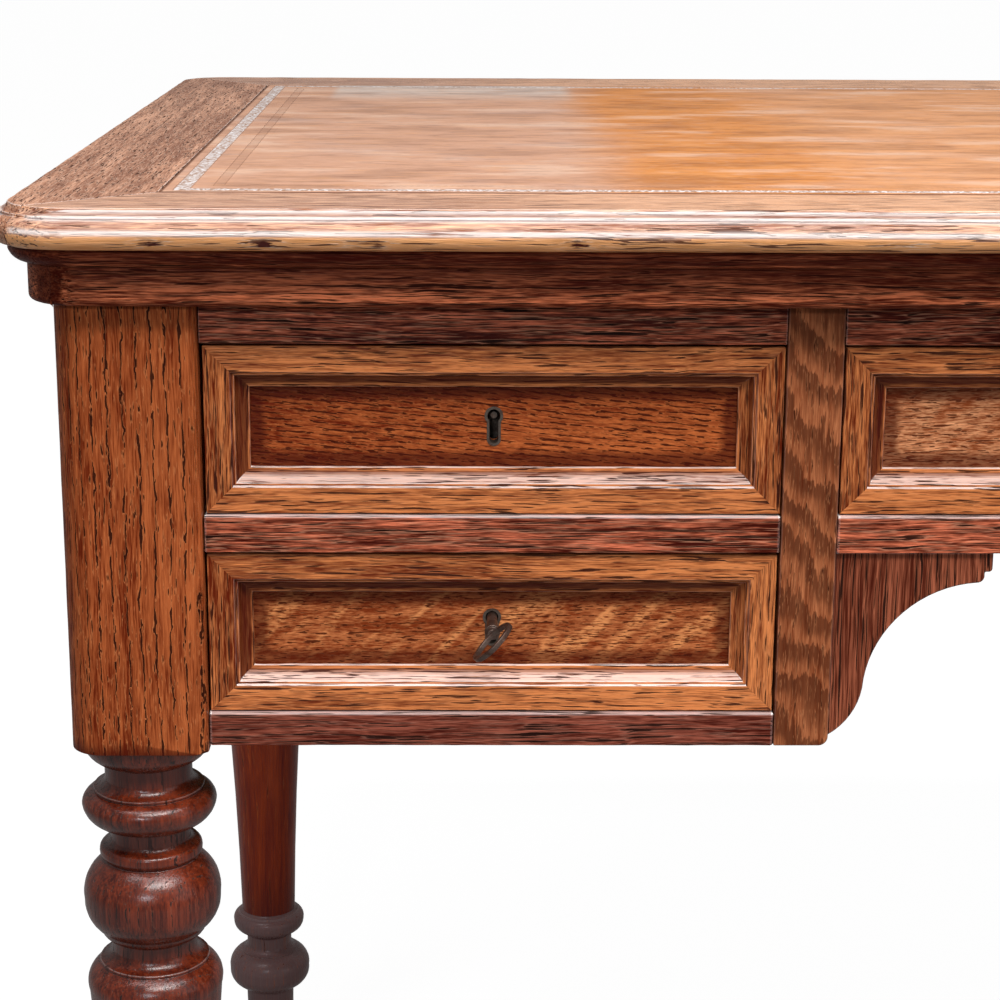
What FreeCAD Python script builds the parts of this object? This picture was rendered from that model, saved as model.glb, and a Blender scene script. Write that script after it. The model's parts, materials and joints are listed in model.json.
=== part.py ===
import FreeCAD, Part
import math
import os
import re
import Sketcher

# Oak kneehole writing desk, front towards -Y, standing on Z = 0, centred on X = 0 and Y = 0.
# The driving sizes are millimetres in the sheet "sizes"; "places" holds what follows from them.

doc = FreeCAD.newDocument("writing_desk")
sizes = doc.addObject("Spreadsheet::Sheet", "sizes")
places = doc.addObject("Spreadsheet::Sheet", "places")

# bulge shares: an arc's rise over half its chord, hollow below 0
QUARTER_SHARE = math.tan(math.pi / 8)
NOSE_COVE_SHARE, NOSE_TORUS_SHARE, BED_MOULD_SHARE = -0.3, 0.34, 0.36
NIB_SHARE, BRACKET_COVE_SHARE, LOBE_SHARE = 0.35, -0.38, 0.22
POMMEL_SHARE, KEYHOLE_HEAD_SHARE, BOW_SHARE = -0.27, 0.65, 0.36
FOOT_BULGE_SHARE = 0.12
# other shares: how far a mitre's tool runs past the corner, and a screw's place on its lock
MITRE_PAST_SHARE = 0.2
SCREW_ROW_SHARE = 0.33
FULL_TURN = 360
QUARTER_TURN = 90

# alias, millimetres
SIZES = [
    ("desk_height", 770), ("knee_width", 560), ("side_bay", 271.5), ("stile_width", 26.5),
    ("leg_block", 67), ("leg_spacing", 611), ("overhang", 32.5), ("side_overhang", 26), ("back_overhang", 27.5),
    ("frame_setback", 7.2), ("frame_depth", 40), ("block_drop", 2.6),
    # heights of the front, from the top down
    ("slab", 18.6), ("upper_rail", 48.1), ("upper_bay", 81.5), ("middle_rail", 18.4),
    ("lower_bay", 79.7), ("bottom_rail", 16.9), ("rail_round", 1.6), ("rail_ease", 0.6),
    # writing surface and its frame
    ("front_border", 64.5), ("side_border", 73.5), ("back_border", 80), ("leather", 1.2),
    ("tongue", 8), ("tongue_thick", 6),
    # moulded edge of the top: distances in from the nose, and heights
    ("nose_corner", 40), ("arris_in", 9.3), ("cove_fall", 3.5), ("nose_in", 5.3), ("nose_step", 1.1),
    ("edge_band", 20),
    # frieze and its bed mould
    ("frieze_height", 28.1), ("frieze_over", 11), ("frieze_corner", 28), ("frieze_ease", 3),
    ("bed_over", 8.5), ("bed_fillet", 4), ("bed_fall", 5.6),
    # joints of the frame
    ("tenon_long", 24), ("tenon_thick", 10), ("tenon_shoulder", 4), ("stub_tenon", 8),
    ("wall_thick", 22), ("panel_thick", 10), ("panel_sink", 9), ("panel_groove", 6),
    ("side_foot_rail", 34), ("partition", 18),
    # bracket beside the kneehole
    ("bracket_reach", 75.2), ("bracket_nib", 9.6), ("nib_round", 1.6), ("nib_step", 3.6),
    ("nib_fillet", 2.6), ("bracket_shoulder", 3.2), ("bracket_shoulder_fall", 2.8),
    ("cove_wide", 52.4), ("lobe_wide", 15.9), ("lobe_fall", 24.0), ("bracket_set", 2.6),
    ("bracket_thick", 22), ("stile_round", 4.6),
    # leg block
    ("block_round", 16.8), ("block_ease", 3.7), ("pommel_rise", 4.5), ("pommel_reach", 48),
    ("pommel_radius", 42.6), ("leg_top_radius", 31.6),
    # drawers
    ("drawer_set", 2.3), ("side_gap", 0.9), ("gap_over", 1.1), ("gap_under", 0.4),
    ("strip_flat", 13.4), ("strip_mould", 8.4), ("strip_thick", 9.3), ("strip_drop", 1.4),
    ("strip_bead", 1.5), ("strip_lip", 1.5), ("strip_edge", 2.3), ("strip_ease", 0.8),
    ("front_thick", 18), ("board_thick", 10), ("drawer_long", 480), ("side_drop", 6),
    ("bottom_thick", 6), ("bottom_up", 7), ("groove", 5), ("box_inset", 1.2),
    ("drawer_shift", 0.5),
    # runners, guides, stops and kickers
    ("runner_width", 24), ("guide_high", 22), ("stop_long", 14),
    ("stop_high", 20), ("stop_gap", 0.3), ("kicker_high", 20),
    # locks
    ("case_wide", 50), ("case_high", 54), ("case_thick", 9), ("case_wall", 1.5),
    ("plate_thick", 1.5), ("plate_margin", 6), ("selvedge_wide", 62), ("selvedge_deep", 11),
    ("selvedge_thick", 2.5), ("pin_radius", 1.55), ("pin_nose", 1.5),
    ("bolt_wide", 22), ("bolt_thick", 4.5), ("bolt_gap", 0.25), ("bolt_sink", 0.3),
    ("bolt_travel", 6), ("bolt_tail", 11.2), ("strike_gap", 0.8),
    ("liner_radius", 4.4), ("liner_half", 3.3), ("liner_up", 9.5), ("liner_down", 9.4),
    ("liner_long", 7), ("liner_proud", 0.4), ("liner_wall", 1.2), ("keyway_clear", 0.3),
    ("screw_radius", 1.5), ("screw_head", 2.8), ("screw_head_thick", 1.2), ("screw_long", 7),
    # key
    ("key_radius", 2.9), ("key_out", 27.5), ("key_bore", 1.85), ("key_bore_end", 1),
    ("bit_long", 6.2), ("bit_thick", 2.2), ("bit_deep", 4.5), ("collar_radius", 3.7),
    ("collar_long", 2.4), ("collar_at", 24), ("bow_half", 12), ("bow_across", 12),
    ("bow_wire", 1.2), ("key_clear", 0.35),
    # fixings of the top
    ("button_wide", 36), ("button_deep", 22), ("button_high", 14), ("button_inset", 90),
    ("cut_over", 5),
]

# name, height, radius at its lower end, bulge share (round outwards above 0, hollow below 0)
TURNINGS = [
    ("shoulder", 13.2, 22.3, 0.4), ("shoulder_step", 0.5, 21.6, 0), ("neck", 8.1, 21.6, 0),
    ("flare", 4.6, 27.4, -0.36), ("lip", 1.4, 27.4, 0), ("lip_groove", 0.5, 26.6, 0),
    ("torus_top", 7.0, 33.35, 0.4), ("torus_foot", 11.2, 20.4, 0.38), ("waist", 7.6, 19.9, 0),
    ("bead_flare", 2.6, 23.6, -0.3), ("bead_top", 3.0, 25.5, 0.35), ("bead_foot", 4.2, 24.0, 0.3),
    ("ball_seat", 0.6, 23.6, 0), ("ball_top", 22.0, 34.0, 0.31), ("ball_foot", 14.8, 27.4, 0.24),
    ("ball_step", 0.6, 26.6, 0), ("ball_under", 5.2, 21.4, 0.3), ("throat", 5.6, 21.3, 0),
    ("cup_flare", 5.8, 27.4, -0.36), ("cup_lip", 1.2, 27.8, 0), ("cup_groove", 0.6, 27.0, 0),
    ("shaft_shoulder", 15.0, 33.4, 0.38), ("shaft", 241.0, 20.7, -0.0156),
    ("ring_flare", 1.6, 23.4, -0.2), ("ring_lip", 1.0, 23.6, 0), ("ring_top", 6.8, 27.5, 0.38),
    ("ring_foot", 9.0, 20.2, 0.38), ("ring_under", 3.4, 17.6, -0.3), ("lower_neck", 6.6, 17.4, 0),
    ("lower_flare", 5.8, 22.6, -0.36), ("lower_lip", 0.8, 22.0, 0), ("bulb_top", 15.4, 31.2, 0.38),
    ("bulb_foot", 14.4, 21.4, 0.38), ("bulb_step", 1.0, 19.4, 0), ("ankle_top", 3.6, 18.5, -0.2),
    ("ankle", 16.4, 18.2, 0), ("foot_flare", 5.0, 21.8, -0.3), ("foot_lip", 1.6, 21.8, 0),
    ("foot_swell", 10.0, 23.0, 0.2),
]
SIZES.append(("foot_tip", 13.5))
for turning, fall, radius, bulge in TURNINGS:
    SIZES.append((turning + "_fall", fall))
    SIZES.append((turning + "_r", radius))

# what follows from the sizes: name, formula
PLACES = [
    ("stile_in", "knee_width / 2"), ("stile_out", "stile_in + stile_width"),
    ("block_in", "stile_out + side_bay"), ("block_out", "block_in + leg_block"),
    ("nose_out", "block_out + side_overhang"),
    ("top_deep", "leg_spacing + leg_block + overhang + back_overhang"),
    ("nose_front", "-top_deep / 2"), ("nose_back", "top_deep / 2"),
    ("block_front", "nose_front + overhang"), ("block_back", "nose_back - back_overhang"),
    ("leg_x", "block_out - leg_block / 2"), ("leg_front", "block_front + leg_block / 2"),
    ("leg_back", "leg_front + leg_spacing"),
    ("frame_front", "block_front + frame_setback"), ("frame_rear", "frame_front + frame_depth"),
    ("back_face", "block_back - frame_setback"), ("back_inner", "back_face - frame_depth"),
    ("side_face", "block_out - frame_setback"), ("side_inner", "side_face - wall_thick"),
    ("slab_under", "desk_height - slab"), ("bay_top", "slab_under - upper_rail"),
    ("middle_top", "bay_top - upper_bay"), ("middle_under", "middle_top - middle_rail"),
    ("lower_floor", "middle_under - lower_bay"), ("case_under", "lower_floor - bottom_rail"),
    ("block_under", "case_under - block_drop"),
    ("leather_side", "nose_out - side_border"), ("leather_front", "nose_front + front_border"),
    ("leather_back", "nose_back - back_border"),
    ("strip_face", "frame_front + drawer_set"), ("board_face", "strip_face + strip_thick"),
    ("board_rear", "board_face + front_thick"), ("box_rear", "board_rear + drawer_long"),
    ("partition_out", "stile_in + stile_width / 2 + partition / 2"),
    ("partition_in", "stile_in + stile_width / 2 - partition / 2"),
    ("tenon_y", "frame_front + frame_depth / 2 - tenon_thick / 2"),
    ("back_tenon_y", "back_face - frame_depth / 2 - tenon_thick / 2"),
    ("case_front", "board_rear - case_thick"), ("bolt_y", "board_rear - case_thick / 2 - bolt_thick / 2"),
]
level = "block_under"
for turning, fall, radius, bulge in TURNINGS:
    PLACES.append((turning + "_z", "%s - %s_fall" % (level, turning)))
    level = turning + "_z"

size_names = {name for name, value in SIZES}
place_names = {name for name, formula in PLACES}


def bound(text, inside_places=False):
    """Give each bare word of a formula the sheet that holds it."""
    def owner(match):
        word = match.group(0)
        if word in size_names:
            return "sizes." + word
        if word in place_names and not inside_places:
            return "places." + word
        return word
    return re.sub(r"[a-z][a-z_0-9]*", owner, str(text))


for row, (name, value) in enumerate(SIZES, 1):
    sizes.set("A%d" % row, name)
    sizes.set("B%d" % row, str(value))
    sizes.setAlias("B%d" % row, name)
doc.recompute()
for row, (name, formula) in enumerate(PLACES, 1):
    places.set("A%d" % row, name)
    places.setAlias("B%d" % row, name)
for row, (name, formula) in enumerate(PLACES, 1):
    places.set("B%d" % row, "=" + bound(formula, inside_places=True))
doc.recompute()


def number(text):
    """Present value of a formula, for the first position of a sketch's geometry."""
    return float(places.evalExpression(bound(text)))


def bind(thing, **formulas):
    for prop, formula in formulas.items():
        thing.setExpression(prop.replace("__", "."), bound(formula))


def move(thing, x="0", y="0", z="0"):
    bind(thing, Placement__Base__x=x, Placement__Base__y=y, Placement__Base__z=z)


def block(name, x0, x1, y0, y1, z0, z1):
    """Box between two corners."""
    box = doc.addObject("Part::Box", name)
    bind(box, Length="(%s) - (%s)" % (x1, x0), Width="(%s) - (%s)" % (y1, y0),
         Height="(%s) - (%s)" % (z1, z0))
    move(box, x0, y0, z0)
    return box


def rod(name, radius, length, x, y, z, axis=None):
    """Cylinder from a point, along +Z or towards +Y."""
    stick = doc.addObject("Part::Cylinder", name)
    bind(stick, Radius=radius, Height=length)
    if axis == "y":
        stick.Placement = FreeCAD.Placement(
            FreeCAD.Vector(), FreeCAD.Rotation(FreeCAD.Vector(1, 0, 0), -QUARTER_TURN))
    move(stick, x, y, z)
    return stick


def cut(name, base, tool):
    thing = doc.addObject("Part::Cut", name)
    thing.Base, thing.Tool = base, tool
    return thing


def fuse(name, *things):
    thing = doc.addObject("Part::MultiFuse", name)
    thing.Shapes = list(things)
    return thing


def common(name, *things):
    thing = doc.addObject("Part::MultiCommon", name)
    thing.Shapes = list(things)
    return thing


def group(name, things):
    thing = doc.addObject("Part::Compound", name)
    thing.Links = list(things)
    return thing


def sketch_on(body, name, plane, offset=None):
    sketch = body.newObject("Sketcher::SketchObject", name)
    for feature in body.Origin.OriginFeatures:
        if feature.Role == plane:
            sketch.AttachmentSupport = [(feature, "")]
    sketch.MapMode = "FlatFace"
    if offset is not None:
        bind(sketch, AttachmentOffset__Base__z=offset)
    return sketch


def outline(sketch, points):
    """Closed outline through points (x, y, bulge share of the edge that arrives there)."""
    places_now = [(number(x), number(y)) for x, y, bulge in points]
    first = sketch.GeometryCount
    total = len(points)
    for i in range(total):
        j = (i + 1) % total
        (x0, y0), (x1, y1) = places_now[i], places_now[j]
        share = points[j][2]
        start, end = FreeCAD.Vector(x0, y0, 0), FreeCAD.Vector(x1, y1, 0)
        if share:
            along = end - start
            side = FreeCAD.Vector(along.y, -along.x, 0)
            middle = (start + end + side * share) / 2
            sketch.addGeometry(Part.Arc(start, middle, end), False)
        else:
            sketch.addGeometry(Part.LineSegment(start, end), False)
    for i in range(total):
        j = (i + 1) % total
        # an arc always runs anticlockwise, so a hollow one starts at its far end
        here = 2 if points[j][2] >= 0 else 1
        there = 1 if points[(j + 1) % total][2] >= 0 else 2
        sketch.addConstraint(Sketcher.Constraint("Coincident", first + i, here, first + j, there))
    for i in range(total):
        j = (i + 1) % total
        x, y, bulge = points[i]
        share = points[j][2]
        end = 1 if share >= 0 else 2
        across = sketch.addConstraint(
            Sketcher.Constraint("DistanceX", -1, 1, first + i, end, places_now[i][0]))
        sketch.setExpression("Constraints[%d]" % across, bound(x))
        up = sketch.addConstraint(
            Sketcher.Constraint("DistanceY", -1, 1, first + i, end, places_now[i][1]))
        sketch.setExpression("Constraints[%d]" % up, bound(y))
        if share:
            x1, y1 = points[j][0], points[j][1]
            (here_x, here_y), (next_x, next_y) = places_now[i], places_now[j]
            chord = math.hypot(next_x - here_x, next_y - here_y)
            scale = (1 + share * share) / (4 * abs(share))
            radius = sketch.addConstraint(
                Sketcher.Constraint("Radius", first + i, chord * scale))
            sketch.setExpression(
                "Constraints[%d]" % radius,
                bound("sqrt(((%s) - (%s))^2 + ((%s) - (%s))^2) * %.12f" % (x1, x, y1, y, scale)))


def prism(name, plane, points, start, end):
    """Body of one outline, padded from start to end along the plane's axis (X, Y or Z)."""
    body = doc.addObject("PartDesign::Body", name)
    offset = "-(%s)" % start if plane == "XZ_Plane" else start
    sketch = sketch_on(body, name + "_outline", plane, offset)
    outline(sketch, points)
    feature = body.newObject("PartDesign::Pad", name + "_pad")
    feature.Profile = sketch
    feature.Reversed = plane == "XZ_Plane"
    bind(feature, Length="(%s) - (%s)" % (end, start))
    return body


def rounded(x0, x1, y0, y1, corner):
    """Rectangle with four round corners, starting at the middle of its front side."""
    turn = QUARTER_SHARE
    return [
        ("((%s) + (%s)) / 2" % (x0, x1), y0, 0),
        ("(%s) - (%s)" % (x1, corner), y0, 0), (x1, "(%s) + (%s)" % (y0, corner), turn),
        (x1, "(%s) - (%s)" % (y1, corner), 0), ("(%s) - (%s)" % (x1, corner), y1, turn),
        ("(%s) + (%s)" % (x0, corner), y1, 0), (x0, "(%s) - (%s)" % (y1, corner), turn),
        (x0, "(%s) + (%s)" % (y0, corner), 0), ("(%s) + (%s)" % (x0, corner), y0, turn),
    ]


def swept_edge(name, path, section):
    """Ring of one section carried round a closed path; the section stands at X = 0."""
    body = doc.addObject("PartDesign::Body", name)
    spine = sketch_on(body, name + "_path", "XY_Plane")
    outline(spine, path)
    profile = sketch_on(body, name + "_section", "YZ_Plane")
    outline(profile, section)
    pipe = body.newObject("PartDesign::AdditivePipe", name + "_sweep")
    pipe.Profile = profile
    pipe.Spine = (spine, ["Edge%d" % (i + 1) for i in range(len(path))])
    return body


nodes = {}


def node(name, thing):
    thing.Label = name
    nodes[name] = thing
    return thing


# Tools of the mitres

def wedge(name, corners):
    return prism(name, "XY_Plane", [(x, y, 0) for x, y in corners], "0", "desk_height + cut_over")


past_side, past_front, past_back = (
    "%s * %s" % (MITRE_PAST_SHARE, border) for border in ("side_border", "front_border", "back_border"))
outer = [("-nose_out - " + past_side, "nose_front - " + past_front),
         ("nose_out + " + past_side, "nose_front - " + past_front),
         ("nose_out + " + past_side, "nose_back + " + past_back),
         ("-nose_out - " + past_side, "nose_back + " + past_back)]
inner = [("-leather_side", "leather_front"), ("leather_side", "leather_front"),
         ("leather_side", "leather_back"), ("-leather_side", "leather_back")]
SIDES = ("front", "right", "back", "left")


def mitred(prefix, ring):
    """Cut a ring into its four boards along lines from the outer to the inner corners."""
    for i, side in enumerate(SIDES):
        j = (i + 1) % 4
        tool = wedge("%s_%s_mitre" % (prefix, side), [outer[i], outer[j], inner[j], inner[i]])
        yield side, common("%s_%s" % (prefix, side), ring, tool)


# Top: leather, ground board and the moulded frame

leather = node("leather_surface", block(
    "leather_sheet", "-leather_side", "leather_side", "leather_front", "leather_back",
    "desk_height - leather", "desk_height"))
ground = block("ground_board", "-leather_side", "leather_side", "leather_front", "leather_back",
               "slab_under", "desk_height - leather")
tongue = block("ground_tongue", "-leather_side - tongue", "leather_side + tongue",
               "leather_front - tongue", "leather_back + tongue",
               "slab_under + (slab - leather - tongue_thick) / 2",
               "slab_under + (slab - leather + tongue_thick) / 2")
ground_whole = fuse("ground_whole", ground, tongue)
plate = prism("top_plate", "XY_Plane",
              rounded("-nose_out + edge_band / 2", "nose_out - edge_band / 2", "nose_front + edge_band / 2",
                      "nose_back - edge_band / 2", "nose_corner - edge_band / 2"),
              "slab_under", "desk_height")
edge = swept_edge(
    "top_edge", rounded("-nose_out", "nose_out", "nose_front", "nose_back", "nose_corner"),
    [("nose_front + edge_band", "slab_under", 0), ("nose_front + edge_band", "desk_height", 0),
     ("nose_front + arris_in", "desk_height", 0),
     ("nose_front + nose_in", "desk_height - cove_fall", NOSE_COVE_SHARE),
     ("nose_front + nose_in", "desk_height - cove_fall - nose_step", 0),
     ("nose_front", "(desk_height - cove_fall - nose_step + slab_under) / 2", NOSE_TORUS_SHARE),
     ("nose_front + nose_in", "slab_under", NOSE_TORUS_SHARE)])
slab_whole = fuse("top_slab", plate, edge)
slab_open = block("leather_well", "-leather_side", "leather_side", "leather_front", "leather_back",
                  "slab_under - cut_over", "desk_height + cut_over")
slab_ring = cut("top_ring", cut("top_frame_well", slab_whole, slab_open), tongue)
for side, board in mitred("top_rail", slab_ring):
    node("top_%s_rail" % side, board)

# Frieze: a board under the overhang on each side, with its bed mould, let in round the leg blocks

frieze_face = "block_front - frieze_over"
frieze_ring = swept_edge(
    "frieze_edge",
    rounded("-block_out - frieze_over", "block_out + frieze_over", frieze_face,
            "block_back + frieze_over", "frieze_corner"),
    [("frame_front", "slab_under - frieze_height", 0), ("frame_front", "slab_under", 0),
     (frieze_face + " - bed_over", "slab_under", 0),
     (frieze_face + " - bed_over", "slab_under - bed_fillet", 0),
     (frieze_face, "slab_under - bed_fillet - bed_fall", BED_MOULD_SHARE),
     (frieze_face, "slab_under - frieze_height + frieze_ease", 0),
     (frieze_face + " + frieze_ease", "slab_under - frieze_height", QUARTER_SHARE)])


def leg_outline():
    """Leg block seen from above: one corner well rounded, its two neighbours eased, at -X -Y."""
    half = "(leg_block / 2)"
    low, high = "-" + half, half
    return [(low + " + block_round", low, QUARTER_SHARE), (high + " - block_ease", low, 0),
            (high, low + " + block_ease", QUARTER_SHARE), (high, high, 0),
            (low + " + block_ease", high, 0), (low, high + " - block_ease", QUARTER_SHARE),
            (low, low + " + block_round", 0)]


LEGS = [("front_left_leg", "-leg_x", "leg_front", 0), ("front_right_leg", "leg_x", "leg_front", 1),
        ("back_right_leg", "leg_x", "leg_back", 2), ("back_left_leg", "-leg_x", "leg_back", 3)]


def turned_about_z(body, quarters, x, y):
    body.Placement = FreeCAD.Placement(
        FreeCAD.Vector(), FreeCAD.Rotation(FreeCAD.Vector(0, 0, 1), QUARTER_TURN * quarters))
    move(body, x, y)


seats = []
for name, x, y, quarters in LEGS:
    seat = prism(name + "_seat", "XY_Plane", leg_outline(), "block_under", "slab_under + cut_over")
    turned_about_z(seat, quarters, x, y)
    seats.append(seat)
leg_seats = group("leg_seats", seats)
frieze_cut = cut("frieze_boards", frieze_ring, leg_seats)
for side, board in mitred("frieze_part", frieze_cut):
    node("frieze_" + side, board)

# Front frame: rails with tenons, stiles, brackets

tenons = []


def mirrored(points, sign):
    """Outline drawn for one hand, or turned over for the other."""
    if sign == "+":
        return points
    corners = [("-(%s)" % x, y) for x, y, bulge in points][::-1]
    # a share belongs to the edge that arrives, so it moves by one place when the order turns
    shares = [bulge for x, y, bulge in points][::-1]
    shares = shares[-1:] + shares[:-1]
    return [(x, y, bulge) for (x, y), bulge in zip(corners, shares)]


def rail_section(face, sign, z0, z1):
    """Rail seen from its end, drawn inwards from its face; the upper arris is the rounder one."""
    points = mirrored([
        ("rail_ease", z0, QUARTER_SHARE), ("frame_depth", z0, 0), ("frame_depth", z1, 0),
        ("rail_round", z1, 0), ("0", z1 + " - rail_round", QUARTER_SHARE),
        ("0", z0 + " + rail_ease", 0)], sign)
    return [("%s + %s" % (face, y), z, bulge) for y, z, bulge in points]


def rail(name, x0, x1, z0, z1, left, right, face="frame_front", sign="+", tenon="tenon_y"):
    """Rail along X with rounded front arrises and a tenon of a named length at each end."""
    body = prism(name + "_bar", "YZ_Plane", rail_section(face, sign, z0, z1), x0, x1)
    ends = []
    for mark, start, end in (("left", "(%s) - (%s)" % (x0, left), x0),
                             ("right", x1, "(%s) + (%s)" % (x1, right))):
        peg = block("%s_%s_tenon" % (name, mark), start, end, tenon, tenon + " + tenon_thick",
                    z0 + " + tenon_shoulder", z1 + " - tenon_shoulder")
        ends.append(peg)
        tenons.append(peg)
    return fuse(name, body, *ends)


BAYS = [("left", "-block_in", "-stile_out", "tenon_long", "stub_tenon"),
        ("centre", "-stile_in", "stile_in", "stub_tenon", "stub_tenon"),
        ("right", "stile_out", "block_in", "stub_tenon", "tenon_long")]
LEVELS = [("upper_rail", "bay_top", "slab_under", ("left", "centre", "right")),
          ("middle_rail", "middle_under", "middle_top", ("left", "centre", "right")),
          ("bottom_rail", "case_under", "lower_floor", ("left", "right"))]

front_rails = {}
for level_name, z0, z1, bays in LEVELS:
    for bay, x0, x1, left, right in BAYS:
        if bay in bays:
            front_rails[level_name, bay] = rail("%s_%s" % (bay, level_name), x0, x1, z0, z1, left, right)


def stile_outline():
    """Right stile from the front; the corner at the kneehole's side is rounded."""
    return [("stile_in + stile_round", "case_under", QUARTER_SHARE), ("stile_out", "case_under", 0),
            ("stile_out", "slab_under", 0), ("stile_in", "slab_under", 0),
            ("stile_in", "case_under + stile_round", 0)]


def bracket_outline():
    """Right bracket from the front, hung under the centre rail beside the right stile."""
    top, side = "middle_under", "stile_in"
    reach = side + " - bracket_reach"
    cove_foot = "case_under + stile_round + lobe_fall"
    return [(side, top, 0), (reach, top, 0),
            (reach, top + " - bracket_nib + nib_round", 0),
            (reach + " + nib_round", top + " - bracket_nib", NIB_SHARE),
            (reach + " + nib_step", top + " - bracket_nib", 0),
            (reach + " + nib_step", top + " - bracket_nib - nib_fillet", 0),
            (reach + " + nib_step + bracket_shoulder",
             top + " - bracket_nib - nib_fillet - bracket_shoulder_fall", NIB_SHARE),
            (side + " - lobe_wide", cove_foot, BRACKET_COVE_SHARE),
            (side, "case_under + stile_round", LOBE_SHARE)]


HANDS = (("left", "-"), ("right", "+"))

stile_parts, brackets = {}, []
for word, sign in HANDS:
    stile_parts[word] = prism(word + "_stile_blank", "XZ_Plane", mirrored(stile_outline(), sign),
                              "frame_front", "frame_rear")
    brackets.append(prism(word + "_bracket", "XZ_Plane", mirrored(bracket_outline(), sign),
                          "frame_front + bracket_set", "frame_front + bracket_set + bracket_thick"))
node("front_brackets", group("front_bracket_pair", brackets))

# Back frame: the front's twin without drawers, and three sunk panels

back_members, back_brackets, back_panels = [], [], []
for level_name, z0, z1, bays in LEVELS:
    for bay, x0, x1, left, right in BAYS:
        if bay in bays and (level_name, bay) not in (("middle_rail", "left"), ("middle_rail", "right")):
            back_members.append(rail("back_%s_%s" % (bay, level_name), x0, x1, z0, z1, left, right,
                                     "back_face", "-", "back_tenon_y"))
back_tenons = tenons[2 * len(front_rails):]
for word, sign in HANDS:
    blank = prism(word + "_back_stile_blank", "XZ_Plane", mirrored(stile_outline(), sign),
                  "back_inner", "back_face")
    back_members.append(cut(word + "_back_stile", blank, group(word + "_back_mortises", back_tenons)))
    back_brackets.append(prism(word + "_back_bracket", "XZ_Plane", mirrored(bracket_outline(), sign),
                               "back_face - bracket_set - bracket_thick", "back_face - bracket_set"))
node("back_brackets", group("back_bracket_pair", back_brackets))
for bay, x0, x1, left, right in BAYS:
    floor = "middle_top" if bay == "centre" else "lower_floor"
    back_panels.append(block(bay + "_back_panel", x0 + " - panel_groove", x1 + " + panel_groove",
                             "back_face - panel_sink - panel_thick", "back_face - panel_sink",
                             floor + " - panel_groove", "bay_top + panel_groove"))
node("back_panels", group("back_panel_set", back_panels))
node("back_frame", cut("back_frame_set", group("back_member_set", back_members), nodes["back_panels"]))

# Side walls: a rail above, a rail below and a sunk panel between each pair of legs

side_tenons = []
LEG_REAR, LEG_FRONT = "(block_front + leg_block)", "(block_back - leg_block)"


def handed(sign, low, high):
    """Span along X on the right of the desk, or the same span on its left."""
    return (low, high) if sign == "+" else ("-(%s)" % high, "-(%s)" % low)


for word, sign in HANDS:
    x0, x1 = handed(sign, "side_face - panel_sink - panel_thick", "side_face - panel_sink")
    panel = block(word + "_wall_panel", x0, x1, LEG_REAR + " - panel_groove", LEG_FRONT + " + panel_groove",
                  "case_under + side_foot_rail - panel_groove", "bay_top + panel_groove")
    parts = [panel]
    for mark, z0, z1 in (("upper", "bay_top", "slab_under"),
                         ("lower", "case_under", "case_under + side_foot_rail")):
        x0, x1 = handed(sign, "side_inner", "side_face")
        bar = block("%s_wall_%s" % (word, mark), x0, x1, LEG_REAR, LEG_FRONT, z0, z1)
        x0, x1 = handed(sign, "side_inner + (wall_thick - tenon_thick) / 2",
                        "side_inner + (wall_thick + tenon_thick) / 2")
        peg = block("%s_wall_%s_tenon" % (word, mark), x0, x1, LEG_REAR + " - stub_tenon",
                    LEG_FRONT + " + stub_tenon", z0 + " + tenon_shoulder", z1 + " - tenon_shoulder")
        side_tenons.append(peg)
        parts.append(cut("%s_wall_%s_rail" % (word, mark),
                         fuse("%s_wall_%s_whole" % (word, mark), bar, peg), panel))
    side_tenons.append(panel)
    node(word + "_side_panel", group(word + "_wall", parts))

# Legs: one turning each, with its square block, the corners turned off below it

joint_tools = group("joint_tools", tenons + side_tenons + back_panels)
for name, x, y, quarters in LEGS:
    body = doc.addObject("PartDesign::Body", name + "_turning")
    profile = sketch_on(body, name + "_profile", "XZ_Plane")
    points = [("0", "block_under", 0), ("0", "0", 0), ("foot_tip", "0", 0)]
    radii = [(turning + "_r", turning + "_z") for turning, fall, radius, bulge in TURNINGS]
    shares = [FOOT_BULGE_SHARE] + [bulge for turning, fall, radius, bulge in TURNINGS[::-1]]
    for (r_name, z_name), share in zip(radii[::-1], shares):
        points.append((r_name, z_name, share))
    points.append(("leg_top_radius", "block_under", shares[-1]))
    outline(profile, points)
    turned = body.newObject("PartDesign::Revolution", name + "_revolve")
    turned.Profile = profile
    turned.ReferenceAxis = (profile, ["V_Axis"])
    turned.Angle = FULL_TURN
    square = sketch_on(body, name + "_square", "XY_Plane", "block_under")
    outline(square, leg_outline())
    pad = body.newObject("PartDesign::Pad", name + "_block")
    pad.Profile = square
    bind(pad, Length="slab_under - block_under")
    pommel = sketch_on(body, name + "_pommel", "XZ_Plane")
    outline(pommel, [("pommel_radius", "block_under", POMMEL_SHARE), ("pommel_reach", "block_under", 0),
                     ("pommel_reach", "block_under + pommel_rise", 0)])
    groove = body.newObject("PartDesign::Groove", name + "_round_off")
    groove.Profile = pommel
    groove.ReferenceAxis = (pommel, ["V_Axis"])
    groove.Angle = FULL_TURN
    turned_about_z(body, quarters, x, y)
    node(name, cut(name + "_joined", body, joint_tools))

for word, sign in HANDS:
    node(word + "_stile", cut(word + "_stile_cut", stile_parts[word],
                              group(word + "_mortises", tenons[:2 * len(front_rails)])))
    x0, x1 = handed(sign, "partition_in", "partition_out")
    node(word + "_partition", block(word + "_partition_board", x0, x1, "frame_rear", "back_inner",
                                    "case_under", "slab_under"))

# Drawers

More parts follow.
